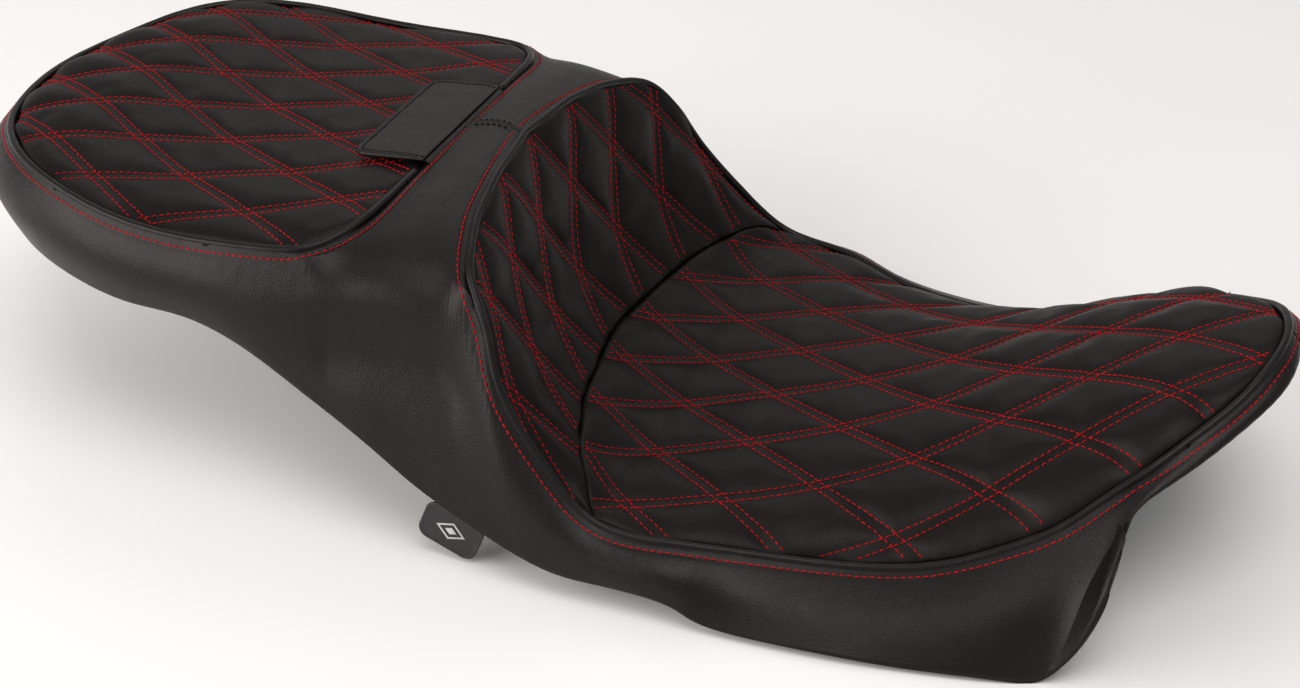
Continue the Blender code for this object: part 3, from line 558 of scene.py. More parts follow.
def vinyl(name, colour, edge_highlight_colour, roughness, grain=1.0, gleam=0.3):
    """Satin vinyl with a pressed leather grain, and a painted highlight: paler in noisy patches along
    raised edges.
    """
    made, tree, shader, place = start_material(name, colour, roughness)
    shader.inputs["Specular IOR Level"].default_value = gleam
    mottle = noise(tree, place, 26.0, 4.0, 0.6)
    tints = tuple(tuple(c * share for c in colour) for share in (0.82, 1.2))
    base = ramp(tree, mottle, 0.35, 0.75, tints)
    # Painted highlight: convex edges (pointiness) are mixed towards a paler colour in noisy patches
    geometry = node(tree, "ShaderNodeNewGeometry")
    edge = ramp(tree, geometry.outputs["Pointiness"], 0.52, 0.60, ((0, 0, 0), (1, 1, 1)))
    highlight_patches = ramp(tree, noise(tree, place, 90.0, 5.0, 0.7), 0.45, 0.75, ((0, 0, 0), (0.7, 0.7, 0.7)))
    highlight_mask = node(tree, "ShaderNodeMath", operation="MULTIPLY")
    tree.links.new(edge, highlight_mask.inputs[0])
    tree.links.new(highlight_patches, highlight_mask.inputs[1])
    highlighted_colour = node(tree, "ShaderNodeMix", data_type="RGBA")
    tree.links.new(highlight_mask.outputs[0], highlighted_colour.inputs["Factor"])
    tree.links.new(base, highlighted_colour.inputs["A"])
    highlighted_colour.inputs["B"].default_value = (*edge_highlight_colour, 1.0)
    tree.links.new(highlighted_colour.outputs["Result"], shader.inputs["Base Color"])
    gloss = ranged(tree, noise(tree, place, 60.0, 3.0), roughness - 0.07, roughness + 0.09)
    tree.links.new(gloss, shader.inputs["Roughness"])
    pebbles = cells(tree, place, 560.0)
    creases = noise(tree, place, 1300.0, 4.0, 0.6)
    folds = noise(tree, place, 70.0, 2.0, 0.5)
    bump(tree, shader, [
        (folds, 0.25, 0.0012), (pebbles, 0.32 * grain, 0.0004), (creases, 0.22 * grain, 0.00015),
    ])
    return made


def thread(name, colour, dark, roughness=0.62):
    """Twisted polyester thread: short slanting plies and small colour changes."""
    made, tree, shader, place = start_material(name, colour, roughness)
    tint = ramp(tree, noise(tree, place, 420.0, 3.0, 0.6), 0.3, 0.7, (dark, colour))
    tree.links.new(tint, shader.inputs["Base Color"])
    twist = node(tree, "ShaderNodeTexWave", bands_direction="DIAGONAL", Scale=900.0, Distortion=1.5)
    tree.links.new(place, twist.inputs["Vector"])
    bump(tree, shader, [(twist.outputs["Fac"], 0.5, 0.0002)])
    shader.inputs["Specular IOR Level"].default_value = 0.12
    return made


def moulded(name, colour, roughness, grain_scale, strength):
    """Moulded plastic or rubber with an eroded grain and faint dust."""
    made, tree, shader, place = start_material(name, colour, roughness)
    dust = noise(tree, place, 40.0, 5.0, 0.65)
    tree.links.new(
        ramp(tree, dust, 0.4, 0.8, (colour, tuple(min(1.0, c * 1.9 + 0.004) for c in colour))),
        shader.inputs["Base Color"],
    )
    tree.links.new(ranged(tree, dust, roughness - 0.1, roughness + 0.1), shader.inputs["Roughness"])
    bump(tree, shader, [
        (noise(tree, place, grain_scale, 5.0, 0.6), strength, 0.0003),
        (noise(tree, place, 18.0, 2.0), 0.15, 0.001),
    ])
    return made


def steel(name):
    """Zinc-plated steel: cloudy plating and fine scratches."""
    made, tree, shader, place = start_material(name, (0.50, 0.50, 0.48), 0.36, 1.0)
    cloud = noise(tree, place, 55.0, 5.0, 0.65)
    tint = ramp(tree, cloud, 0.3, 0.75, ((0.36, 0.36, 0.37), (0.62, 0.61, 0.56)))
    tree.links.new(tint, shader.inputs["Base Color"])
    tree.links.new(ranged(tree, cloud, 0.28, 0.5), shader.inputs["Roughness"])
    scratch = node(tree, "ShaderNodeMapping", Scale=(40.0, 1500.0, 1500.0))
    tree.links.new(place, scratch.inputs["Vector"])
    bump(tree, shader, [(noise(tree, scratch.outputs[0], 1.0, 3.0), 0.2, 0.0001)])
    return made


# Each vinyl's second colour is the painted highlight that its convex edges are mixed towards
QUILT = vinyl("quilted_vinyl_look", (0.0056, 0.0040, 0.0034), (0.018, 0.015, 0.014), 0.44, 0.8, 0.15)
SKIRT = vinyl("skirt_vinyl_look", (0.0060, 0.0046, 0.0040), (0.018, 0.0155, 0.014), 0.40, 1.2, 0.24)
WELT = vinyl("welt_vinyl_look", (0.0050, 0.0044, 0.0042), (0.024, 0.022, 0.021), 0.36, 0.7, 0.24)
RED = thread("red_thread", (0.50, 0.006, 0.010), (0.27, 0.003, 0.006))
BLACK = thread("black_thread", (0.010, 0.010, 0.010), (0.004, 0.004, 0.004), 0.5)
PLASTIC = moulded("pan_plastic_look", (0.016, 0.016, 0.017), 0.55, 700.0, 0.35)
RUBBER = moulded("bumper_rubber_look", (0.012, 0.012, 0.012), 0.72, 900.0, 0.25)
LABEL = moulded("label_rubber_look", (0.0065, 0.0065, 0.0072), 0.42, 1200.0, 0.12)
LABEL_RELIEF = moulded("label_relief_look", (0.36, 0.37, 0.38), 0.48, 1000.0, 0.10)
STEEL = steel("plated_steel_look")


# ---------------------------------------------------------------- quilted pads

def ruled_patch(low, high, side, weight):
    """Surface between two crosswise lines, bent at both ends to follow the side line.

    low and high are full crosswise lines, side is the left border from low to high."""
    across_count, up_count = len(low), len(side)
    t = np.linspace(0.0, 1.0, up_count)[None, :, None]
    ruled = low[:, None] * (1 - t) + high[:, None] * t
    straight = side[0] * (1 - t[0]) + side[-1] * t[0]
    bulge = side - straight
    s = np.linspace(-1.0, 1.0, across_count)
    left = (np.abs(s) ** weight * (s > 0))[:, None, None]
    right = (np.abs(s) ** weight * (s < 0))[:, None, None]
    return ruled + left * bulge[None] + right * (bulge * MIRROR)[None]


def full_line(half, count):
    """A crosswise line from its half that starts on the centre line and runs left."""
    left = resample(half, count=(count + 1) // 2)
    return np.concatenate([left[:0:-1] * MIRROR, left])


def split_half(half, first, second):
    """A half loop cut at two points: the part near the start, the side, and the rest."""
    a = int(np.argmin(np.linalg.norm(half - np.array(first), axis=1)))
    b = int(np.argmin(np.linalg.norm(half - np.array(second), axis=1)))
    return half[:a + 1], half[a:b + 1], half[b:]


def settle_edges(grid, border_z, power=10):
    """Let a height-field grid meet the heights that its border should have."""
    rows, columns = grid.shape[:2]
    miss = border_z - grid[:, :, 2]
    s = np.abs(np.linspace(-1.0, 1.0, rows))[:, None] ** (power * 2)
    t0 = (1.0 - np.linspace(0.0, 1.0, columns))[None] ** (power * 2)
    t1 = np.linspace(0.0, 1.0, columns)[None] ** (power * 2)
    side = np.where(np.linspace(-1, 1, rows)[:, None] > 0, miss[-1][None], miss[0][None])
    total = s + t0 + t1
    change = (side * s + miss[:, :1] * t0 + miss[:, -1:] * t1) / np.maximum(total, 1.0)
    grid[:, :, 2] += change
    return grid


def lattice_lines(low_u, high_u, widest):
    """Centre lines of the sewn channels as (u, m) arrays, both slants."""
    lines = []
    m = np.linspace(-widest, widest, 900)
    for k in range(-12, 14):
        for slant in (-2.0, 2.0):
            u = 2.0 * k + 1.0 + slant * m
            keep = (u > low_u) & (u < high_u)
            if keep.sum() > 4:
                lines.append(np.stack([u[keep], m[keep]], axis=1))
    return lines


# Places of the quilting's crossings: positions of whole steps of u along each pad
SEAT_U = through(
    (-1, -28), (0, 18), (1, 64), (2, 110), (3, 157), (4, 202), (5, 243), (6, 286), (7, 329),
    (8, 371), (9, 413),
)
SEAT_BOW = held(through((0, 1.9), (1, 0.3), (3, 0.3), (4, 1.0), (5, 2.0), (6, 2.0)), 0, 6)
PILLION_U = through(
    (3, -399), (4, -355), (5, -311), (6, -267), (7, -221), (8, -170), (9, -123), (10, -75),
    (11, -28),
)
BACK_U = through((-4, 217), (-3, 175), (-2, 132), (-1, 90), (0, 37))
BACK_RISE = held(through((-4, -2), (-3, -0.5), (-2, 3.5), (-1, 3), (-0.37, 0.5)), -4, -0.37)
SEAT_STEP = 50.0
PILLION_STEP = 48.5
LATTICE_HALF_WIDTH = 3.6


# Where a point (u, m) of the quilting's lattice lies: x and y, or z and y on the back pad
def seat_place(u, m):
    return SEAT_U(u) + SEAT_BOW(u) * m * m, SEAT_STEP * m


def pillion_place(u, m):
    return PILLION_U(u), PILLION_STEP * m


def back_place(u, m):
    return BACK_U(u) + BACK_RISE(u) * np.abs(m), SEAT_STEP * m


def lattice_of(place, step, first, second, low, high):
    """(u, m) of points from their two plan coordinates, by interpolation on a table."""
    us = np.linspace(low, high, 300)
    m = second / step
    u = np.zeros_like(first)
    for i in range(len(first)):
        levels = np.broadcast_to(place(us[:, None], m[i][None])[0], (len(us), m.shape[1]))
        rising = levels[-1].mean() > levels[0].mean()
        for j in range(m.shape[1]):
            column = levels[:, j] if rising else levels[::-1, j]
            u[i, j] = np.interp(first[i, j], column, us if rising else us[::-1])
    return u, m


def channel_distance(u, m, grid):
    """Distance in millimetres from each grid point to the nearest channel of each slant."""
    found = []
    es, et = np.gradient(grid, axis=0), np.gradient(grid, axis=1)
    a = np.einsum("ijk,ijk->ij", es, es)
    b = np.einsum("ijk,ijk->ij", es, et)
    c = np.einsum("ijk,ijk->ij", et, et)
    for value in ((u + 2 * m) / 2.0, (u - 2 * m) / 2.0):
        ds, dt = np.gradient(value, axis=0), np.gradient(value, axis=1)
        size = np.sqrt(np.maximum(
            (c * ds * ds - 2 * b * ds * dt + a * dt * dt) / np.maximum(a * c - b * b, 1e-9), 1e-9
        ))
        offset = value - 0.5 - np.round(value - 0.5)
        found.append(np.abs(offset) / size)
    return found


def finer(array):
    """A grid with one more point between each two, along smooth curves."""
    for axis in (0, 1):
        count = array.shape[axis]
        moved = np.moveaxis(array, axis, 0)
        padded = np.concatenate([2 * moved[:1] - moved[1:2], moved, 2 * moved[-1:] - moved[-2:-1]])
        middle = (9.0 * (padded[1:-2] + padded[2:-1]) - padded[:-3] - padded[3:]) / 16.0
        out = np.empty((2 * count - 1, *moved.shape[1:]))
        out[0::2] = moved
        out[1::2] = middle
        array = np.moveaxis(out, 0, axis)
    return array


def inflate(name, grid, pinned, normals):
    """How far cloth over a grid of points swells between its pinned stitches, in millimetres."""
    rows, columns = grid.shape[:2]
    faces = grid_faces(rows, columns)
    a, b, c = (grid.reshape(-1, 3)[k] for k in faces[0][:3])
    if np.dot(np.cross(b - a, c - a), normals[0, 0]) < 0:
        faces = grid_faces(rows, columns, flip=True)
    mesh = bpy.data.meshes.new(name)
    mesh.from_pydata((grid.reshape(-1, 3) * MM).tolist(), [], faces)
    sheet = bpy.data.objects.new(name, mesh)
    bpy.context.scene.collection.objects.link(sheet)
    group = sheet.vertex_groups.new(name="pins")
    group.add([int(i) for i in np.flatnonzero(pinned.ravel())], 1.0, "REPLACE")
    step = sheet.modifiers.new("cloth", "CLOTH")
    cloth = {
        "quality": 6, "mass": 0.08, "air_damping": 4.0, "tension_stiffness": 12.0,
        "compression_stiffness": 12.0, "shear_stiffness": 6.0, "bending_stiffness": 2.0,
        "shrink_min": -0.006, "vertex_group_mass": "pins", "pin_stiffness": 1.0,
        "use_pressure": True, "uniform_pressure_force": 4.0,
    }
    for key, value in cloth.items():
        setattr(step.settings, key, value)
    step.settings.effector_weights.gravity = 0.0
    step.collision_settings.use_collision = False
    step.collision_settings.use_self_collision = False
    step.point_cache.frame_start = 1
    step.point_cache.frame_end = CLOTH_FRAMES
    scene = bpy.context.scene
    for number in range(1, CLOTH_FRAMES + 1):
        scene.frame_set(number)
    graph = bpy.context.evaluated_depsgraph_get()
    swollen = sheet.evaluated_get(graph)
    points = np.zeros(rows * columns * 3)
    swollen.data.vertices.foreach_get("co", points)
    scene.frame_set(1)
    bpy.data.objects.remove(sheet, do_unlink=True)
    bpy.data.meshes.remove(mesh)
    return points.reshape(rows, columns, 3) / MM - grid


def quilt_profile(distances):
    """Height of a quilted surface from its distances to the channels, without the swelling."""
    level = np.zeros_like(distances[0])
    for distance in distances:
        between_rows = distance < ROW_HALF_GAP
        ridge = -CHANNEL_DEPTH + 0.45 * (1.0 - (distance / ROW_HALF_GAP) ** 2)
        slope = -CHANNEL_DEPTH * np.exp(-np.maximum(distance - ROW_HALF_GAP, 0.0) / 2.6)
        level = np.minimum(level, np.where(between_rows, ridge, slope))
    return level


def soft_puff(distances):
    """Pillow shape that the cloth starts from."""
    shapes = [1.0 - np.exp(-np.maximum(d - ROW_HALF_GAP, 0.0) / 6.5) for d in distances]
    return PUFF * shapes[0] * shapes[1]


def close_pad(name, top, base, normals):
    """A closed cushion from its top: walls down from its border, and a coarser underside."""
    rows, columns = top.shape[:2]
    ring = border_indices(rows, columns)
    flat_top = top.reshape(-1, 3)
    flat_normals = normals.reshape(-1, 3)
    points = [flat_top]
    starts = [np.array(ring)]
    count = rows * columns
    faces = grid_faces(rows, columns)
    for depth in (2.0, PAD_THICKNESS - 2.5):
        points.append(flat_top[ring] - flat_normals[ring] * depth)
        starts.append(count + np.arange(len(ring)))
        count += len(ring)
    for upper, lower in zip(starts, starts[1:]):
        for k in range(len(ring)):
            after = (k + 1) % len(ring)
            faces.append((int(upper[after]), int(upper[k]), int(lower[k]), int(lower[after])))
    stride = 4
    coarse = base[::stride, ::stride] - normals[::stride, ::stride] * PAD_THICKNESS
    crows, ccolumns = coarse.shape[:2]
    points.append(coarse.reshape(-1, 3))
    faces += grid_faces(crows, ccolumns, count, flip=True)
    coarse_ring = [count + k for k in border_indices(crows, ccolumns)]
    lower = starts[-1]
    for k in range(len(coarse_ring)):
        after = (k + 1) % len(coarse_ring)
        span = [int(lower[(k * stride + n) % len(ring)]) for n in range(stride + 1)]
        faces.append((coarse_ring[after], *span[::-1], coarse_ring[k])[::-1])
    pad = make_object(name, np.concatenate(points), faces, QUILT)
    turn_outwards(pad).data.shade_smooth()
    return pad


def make_pad(name, grid, u, m, replaced, pressed=None):
    """One quilted pad as a closed cushion over a grid of points; returns its top as a grid too."""
    rows, columns = grid.shape[:2]
    normals = unit(np.cross(np.gradient(grid, axis=0), np.gradient(grid, axis=1)))
    if normals[rows // 2, columns // 2, 2] + normals[rows // 2, columns // 2, 0] < 0:
        normals = -normals
    distances = channel_distance(u, m, grid)
    near = np.minimum(*distances)
    border = np.zeros((rows, columns), bool)
    border[[0, -1]] = True
    border[:, [0, -1]] = True
    filled = normals * soft_puff(distances)[..., None]
    pinned = border | (near < ROW_HALF_GAP + 0.3)
    moved = filled + inflate(name + "_cloth", grid + filled, pinned, normals)
    height = np.einsum("ijk,ijk->ij", moved, normals)
    print(name, "swell", np.percentile(height, (1, 25, 50, 75, 99)).round(2))
    height = np.clip(height, 0.0, None)
    for _ in range(2):
        height[1:-1] += (height[:-2] + height[2:] - 2 * height[1:-1]) / 4.0
        height[:, 1:-1] += (height[:, :-2] + height[:, 2:] - 2 * height[:, 1:-1]) / 4.0
    height *= PUFF_LIMIT / max(np.percentile(height, 99.0), PUFF_LIMIT)
    moved = normals * height[..., None]
    if pressed is not None:
        moved = moved * (1.0 - 0.6 * pressed(grid))[..., None]
    fine = finer(grid)
    fine_moved = finer(moved)
    fine_normals = unit(finer(normals))
    fine_distances = channel_distance(finer(u), finer(m), fine)
    level = quilt_profile(fine_distances)
    rows, columns = fine.shape[:2]
    s = np.minimum(np.arange(rows), np.arange(rows)[::-1])[:, None] * GRID_STEP / 2
    t = np.minimum(np.arange(columns), np.arange(columns)[::-1])[None] * GRID_STEP / 2
    from_edge = np.minimum(s, t)
    roll = 1.0 * np.exp(-from_edge / 2.0)
    edge_puff = 1.2 * (1.0 - np.exp(-from_edge / 7.0))
    edge_puff = edge_puff * (1.0 - np.exp(-np.minimum(*fine_distances) / 7.0))
    wobble = 0.05 * np.sin(fine[..., 0] * 0.9 + fine[..., 1] * 0.35) * np.exp(-from_edge / 9.0)
    if pressed is not None:
        edge_puff *= 1.0 - pressed(fine)
    top = fine + fine_moved + fine_normals * (level + edge_puff + wobble - roll)[..., None]
    pad = close_pad(name, top, fine, fine_normals)
    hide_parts(*replaced)
    return pad, top


def pad_counts(width, length):
    """Odd numbers of points, so that the coarse underside fits under the finer top."""
    def fit(size):
        return 2 * int(round(size / GRID_STEP / 2.0)) + 1
    return fit(width), fit(length)


def inside(points, outline):
    """Which 2-D points lie inside a closed outline."""
    x, y = points[:, 0], points[:, 1]
    result = np.zeros(len(points), bool)
    nxt = np.roll(outline, -1, axis=0)
    for (x0, y0), (x1, y1) in zip(outline, nxt):
        crosses = ((y0 > y) != (y1 > y)) & (x < (x1 - x0) * (y - y0) / (y1 - y0 + 1e-12) + x0)
        result ^= crosses
    return result


def tree_of(piece):
    """The piece's surface for ray casts, in metres."""
    graph = bpy.context.evaluated_depsgraph_get()
    return BVHTree.FromObject(piece, graph)


def drop(surface, points, direction, reach=90.0):
    """Points in millimetres carried along a direction on to a surface, with its normals."""
    direction = np.asarray(direction, float)
    landed = np.full_like(points, np.nan)
    normals = np.full_like(points, np.nan)
    for k, point in enumerate(points):
        start = (point - direction * reach) * MM
        spot, normal, _, _ = surface.ray_cast(Vector(start), Vector(direction), 2.5 * reach * MM)
        if spot is not None:
            landed[k] = np.array(spot) / MM
            normals[k] = np.array(normal)
    normals *= np.where((normals @ -direction) < 0, -1.0, 1.0)[:, None]
    return landed, normals


def stitch_run(points, normals, pitch=STITCH_PITCH, start=0.0):
    """Centres, directions and normals of the stitches along one sewn line."""
    along = distance_along(points)
    count = max(int(along[-1] / pitch + 0.3), 1)
    at = (np.arange(count) + 0.5 + start * 0.1) * along[-1] / count
    ahead = places_at(at + 1.2, along, points) - places_at(at - 1.2, along, points)
    return places_at(at, along, points), unit(ahead), unit(places_at(at, along, normals))


def sew(name, runs, colour, body="seat", radius=THREAD_RADIUS, pitch=STITCH_PITCH, seed=1):
    """Stitches along several lines of (points, normals), as one piece."""
    random = np.random.default_rng(seed)
    parts = [
        stitch_run(points, normals, pitch, random.uniform(0, 1.0))
        for points, normals in runs if len(points) > 2
    ]
    centres, along, lift = (np.concatenate(same) for same in zip(*parts))
    side = np.cross(along, lift)
    along = unit(along + side * random.normal(0, 0.05, (len(centres), 1)))
    lengths = pitch * STITCH_SHARE * random.uniform(0.92, 1.06, len(centres))
    centres = centres + lift * radius * 0.75 + side * random.normal(0, 0.05, (len(centres), 1))
    made = capsules(name, centres, along, lift, lengths, radius, colour, bow=0.42)
    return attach(made, body)


def split_runs(points, normals, good):
    """Unbroken stretches of a line whose points are all good."""
    runs = []
    start = None
    for k, ok in enumerate(list(good) + [False]):
        if ok and start is None:
            start = k
        elif not ok and start is not None:
            if k - start > 4:
                runs.append((points[start:k], normals[start:k]))
            start = None
    return runs


def quilting_runs(pad, top, lattice):
    """Both rows of each channel of a pad, laid on its surface."""
    place, _, axes, low_u, high_u, direction = lattice
    outline = ring_of(top, axes)
    surface = tree_of(pad)
    runs = []
    for line in lattice_lines(low_u, high_u, LATTICE_HALF_WIDTH):
        first, second = place(line[:, 0], line[:, 1])
        flat = np.stack([first, second], axis=1)
        tangent = unit(np.gradient(flat, axis=0))
        aside = np.stack([-tangent[:, 1], tangent[:, 0]], axis=1)
        for sign in (-1.0, 1.0):
            row = flat + aside * sign * ROW_HALF_GAP
            points = np.zeros((len(row), 3))
            points[:, list(axes)] = row
            good = inside(row, outline)
            if good.sum() < 5:
                continue
            landed, normals = drop(surface, points[good], direction, 320.0)
            full_points = np.full((len(row), 3), np.nan)
            full_normals = np.full((len(row), 3), np.nan)
            full_points[good] = landed
            full_normals[good] = normals
            runs += split_runs(full_points, full_normals, ~np.isnan(full_points[:, 0]))
    return runs


# ---------------------------------------------------------------- the three pads

def flap_cover(points):
    """1 where the flap lies over a point, 0 elsewhere."""
    x, y = points[..., 0], points[..., 1]
    near_y = smooth_step((58.0 - np.abs(y)) / 8.0)
    near_x = smooth_step((x + 148.0) / 8.0)
    return near_x * near_y


def height_pad(half_low, side, half_high, height, power):
    """Grid of a pad that lies on a height function."""
    width = np.linalg.norm(np.diff(half_low, axis=0), axis=1).sum() * 2
    width = max(width, np.linalg.norm(np.diff(half_high, axis=0), axis=1).sum() * 2)
    length = np.linalg.norm(np.diff(side, axis=0), axis=1).sum()
    length = max(length, abs(half_low[0, 0] - half_high[0, 0]))
    rows, columns = pad_counts(width, length)
    grid = ruled_patch(
        full_line(half_low, rows), full_line(half_high, rows), resample(side, count=columns), power
    )
    border_z = grid[:, :, 2].copy()
    grid[:, :, 2] = height(grid[:, :, 0], grid[:, :, 1])
    return settle_edges(grid, border_z)


passenger = passenger_half()
driver = driver_half()
passenger_inner = inset_half(passenger, PAD_BORDER)
driver_inner = inset_half(driver, PAD_BORDER)

# Where the outlines turn from one side of a pad to the next
TAIL_CORNER, BRIDGE_CORNER = (-343, 91, 170), (-122, 143, 162)
ARC_CORNER, SEAM_CORNER, NOSE_CORNER = (-25, 134, 150), (56, 168, 46), (343, 76, 105)
BACK_LENGTH = 138.0      # up the slope of the rider's back pad, in the middle
BACK_HEIGHT = 118.0
BACK_HOLLOW = 60.0       # scale of the curve in which it leans back above the seat

tail, side, front = split_half(passenger_inner, TAIL_CORNER, BRIDGE_CORNER)
passenger_grid = height_pad(tail, side, front[::-1], pillion_height, 6)

arc, flank, _ = split_half(driver_inner, ARC_CORNER, SEAM_CORNER)
_, side, nose = split_half(driver_inner, SEAM_CORNER, NOSE_CORNER)
seam_half = np.concatenate([seam_line(np.linspace(0.0, 0.965, 60)), flank[-1:]])
seam_whole = resample(np.concatenate([seam_half[:0:-1] * MIRROR, seam_half]), count=241)
seam_half = smooth_along(seam_whole, 22)[120:]
seam_half[0, 1] = 0.0
seam_half[-1] = flank[-1]
seam_ahead = seam_half + np.array([0.3, 0.0, 0.0])
seam_ahead[-1] = flank[-1]
seat_grid = height_pad(seam_ahead, side, nose[::-1], seat_height, 6)

seam_behind = seam_half + np.array([-0.2, 0.0, 0.5])
seam_behind[-1] = flank[-1]
rows = pad_counts(np.linalg.norm(np.diff(seam_half, axis=0), axis=1).sum() * 2, 1.0)[0]
columns = pad_counts(1.0, BACK_LENGTH)[1]
low, high = full_line(seam_behind, rows), full_line(arc, rows)
back_grid = ruled_patch(low, high, resample(flank[::-1], count=columns), 5)
share = np.linspace(0.0, 1.0, columns)[None]
tall = (high[:, 2] - low[:, 2])[:, None] / BACK_HEIGHT
towards_sides = np.abs(np.linspace(-1, 1, rows))[:, None] ** 5
back_grid[:, :, 0] -= BACK_HOLLOW * share * (1.0 - share) ** 2 * tall * (1.0 - towards_sides)

# For each pad: its lattice, the step across it, the two coordinates the lattice is drawn in,
# its first and last position, and the direction in which its stitches are laid on it
PILLION_LATTICE = pillion_place, PILLION_STEP, (0, 1), 3, 11, (0, 0, -1)
SEAT_LATTICE = seat_place, SEAT_STEP, (0, 1), -1, 9, (0, 0, -1)
BACK_LATTICE = back_place, SEAT_STEP, (2, 1), -4, 0, (-1, 0, 0)


def quilted(name, grid, lattice, replaced, pressed=None):
    """A pad over a grid, quilted with its lattice."""
    place, step, axes, low, high, _ = lattice
    u, m = lattice_of(place, step, grid[..., axes[0]], grid[..., axes[1]], low, high)
    return make_pad(name, grid, u, m, replaced, pressed)


passenger_pad, passenger_top = quilted(
    "passenger_cushion", passenger_grid, PILLION_LATTICE, ("passenger_panel", "passenger_foam"),
    flap_cover,
)
seat_pad, seat_pad_top = quilted(
    "driver_seat_cushion", seat_grid, SEAT_LATTICE, ("driver_seat_panel", "driver_foam"))
back_pad, back_pad_top = quilted(
    "driver_back_cushion", back_grid, BACK_LATTICE, ("driver_back_panel",))


def ring_of(top, axes):
    """Outline of a pad in two of its coordinates, one grid point in from its border."""
    inner = top[1:-1, 1:-1]
    flat = inner.reshape(-1, 3)[border_indices(*inner.shape[:2])]
    return flat[:, list(axes)]


def cut_slot(pad):
    """Open the socket's slot through the passenger pad, under the flap."""
    half_x, half_y = SLOT_HALF
    corners = np.array([
        (sx * half_x, sy * half_y, z)
        for z in (130.0, 200.0) for sx, sy in ((-1, -1), (1, -1), (1, 1), (-1, 1))
    ])
    faces = [(3, 2, 1, 0), (4, 5, 6, 7)] + ring_faces(2, 4)
    box = make_object("slot_cutter", corners + np.array([SOCKET_X, 0.0, 0.0]), faces, QUILT)
    step = pad.modifiers.new("slot", "BOOLEAN")
    step.operation = "DIFFERENCE"
    step.solver = "EXACT"
    step.object = box
    graph = bpy.context.evaluated_depsgraph_get()
    opened = bpy.data.meshes.new_from_object(pad.evaluated_get(graph))
    pad.modifiers.clear()
    old = pad.data
    pad.data = opened
    bpy.data.meshes.remove(old)
    bpy.data.objects.remove(box, do_unlink=True)


cut_slot(passenger_pad)
red_runs = []
for pad, top, lattice in (
    (passenger_pad, passenger_top, PILLION_LATTICE), (seat_pad, seat_pad_top, SEAT_LATTICE),
    (back_pad, back_pad_top, BACK_LATTICE),
):
    red_runs += quilting_runs(pad, top, lattice)
sew("quilting_stitches", red_runs, RED, seed=3)

for pad in (passenger_pad, seat_pad, back_pad):
    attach(pad, "seat")


# ---------------------------------------------------------------- smooth covers

# Columns of a cover's grid: tucked under the seam, across the bridge, down the side, hem, return
TUCKED, ACROSS, DOWN = 5, 45, 26
EDGE = TUCKED + ACROSS
HEM = EDGE + DOWN
# Rows of the grid, and those that start on the bridge
TAIL_ROWS, BRIDGE_ROWS, NOSE_ROWS = 109, 120, 199
BRIDGE_END = TAIL_ROWS + BRIDGE_ROWS - 1
FRONT_SHARE, BACK_SHARE = 0.38, 0.6     # of the bridge: along the passenger pad, along the rider's


def near_bridge(row, before, after, fade_in, fade_out):
    """1 on the bridge's rows, and 0 from a number of rows before and after them."""
    coming = smooth_step((row - (TAIL_ROWS - before)) / fade_in)
    return coming * smooth_step((BRIDGE_END + after - row) / fade_out)


def cover_starts(at):
    """Where each row of the cover starts: on the rim, or on the bridge's own edges."""
    starts = top_edge(at)
    along = (at - BRIDGE_START) / (BRIDGE_STOP - BRIDGE_START)
    front = (along > 0) & (along <= FRONT_SHARE)
    centre = (along > FRONT_SHARE) & (along < BACK_SHARE)
    back = (along >= BACK_SHARE) & (along < 1)
    starts[front] = pillion_front(along[front] / FRONT_SHARE)
    share = (along[centre] - FRONT_SHARE) / (BACK_SHARE - FRONT_SHARE)
    x = PILLION_FRONT[-1][0] + (BACK_ARC[-1][0] - PILLION_FRONT[-1][0]) * share
    starts[centre] = np.stack([x, np.zeros_like(x), bridge_top(x)], axis=1)
    starts[back] = back_arc((1.0 - along[back]) / (1.0 - BACK_SHARE))
    for line, own in ((passenger, along <= FRONT_SHARE), (driver, along >= BACK_SHARE)):
        dense = resample(line, 0.4)
        gaps = ((starts[own][:, None] - dense[None]) ** 2).sum(axis=2)
        starts[own] = dense[gaps.argmin(axis=1)]
    return starts


def distance_to(points, line):
    """Distance from each point of a grid to the nearest point of a dense polyline."""
    flat = points.reshape(-1, 3)
    found = np.empty(len(flat))
    tree = KDTree(len(line))
    for k, point in enumerate(line):
        tree.insert(Vector(point), k)
    tree.balance()
    for k, point in enumerate(flat):
        found[k] = tree.find(Vector(point))[2]
    return found.reshape(points.shape[:2])


def round_shoulder(flat, sides):
    """Blend the bridge's top into its sides over a soft shoulder."""
    rows = np.concatenate([flat, sides], axis=1)
    steps = np.linalg.norm(np.diff(rows, axis=1), axis=2)
    along = np.concatenate([np.zeros((len(rows), 1)), np.cumsum(steps, axis=1)], axis=1)
    edge = along[:, flat.shape[1]]
    out = np.zeros_like(rows)
    count = 160
    for i, (row, place, at_edge) in enumerate(zip(rows, along, edge)):
        even = np.linspace(0.0, place[-1], count)
        line = places_at(even, place, row)
        strength = smooth_step((at_edge - 4.0) / 40.0)
        weight = strength * np.exp(-((even - at_edge) / 48.0) ** 2)[1:-1, None]
        rounds = int(2.0 * (20.0 / (place[-1] / count)) ** 2)
        for _ in range(min(rounds, 700) if strength > 0 else 0):
            line[1:-1] += weight * (line[:-2] + line[2:] - 2 * line[1:-1]) / 4.0
        out[i] = places_at(place, even, line)
    change = out - rows
    for column in range(rows.shape[1]):
        change[:, column] = smooth_along(change[:, column], 9)
    rows = rows + change
    return rows[:, :flat.shape[1]], rows[:, flat.shape[1]:]


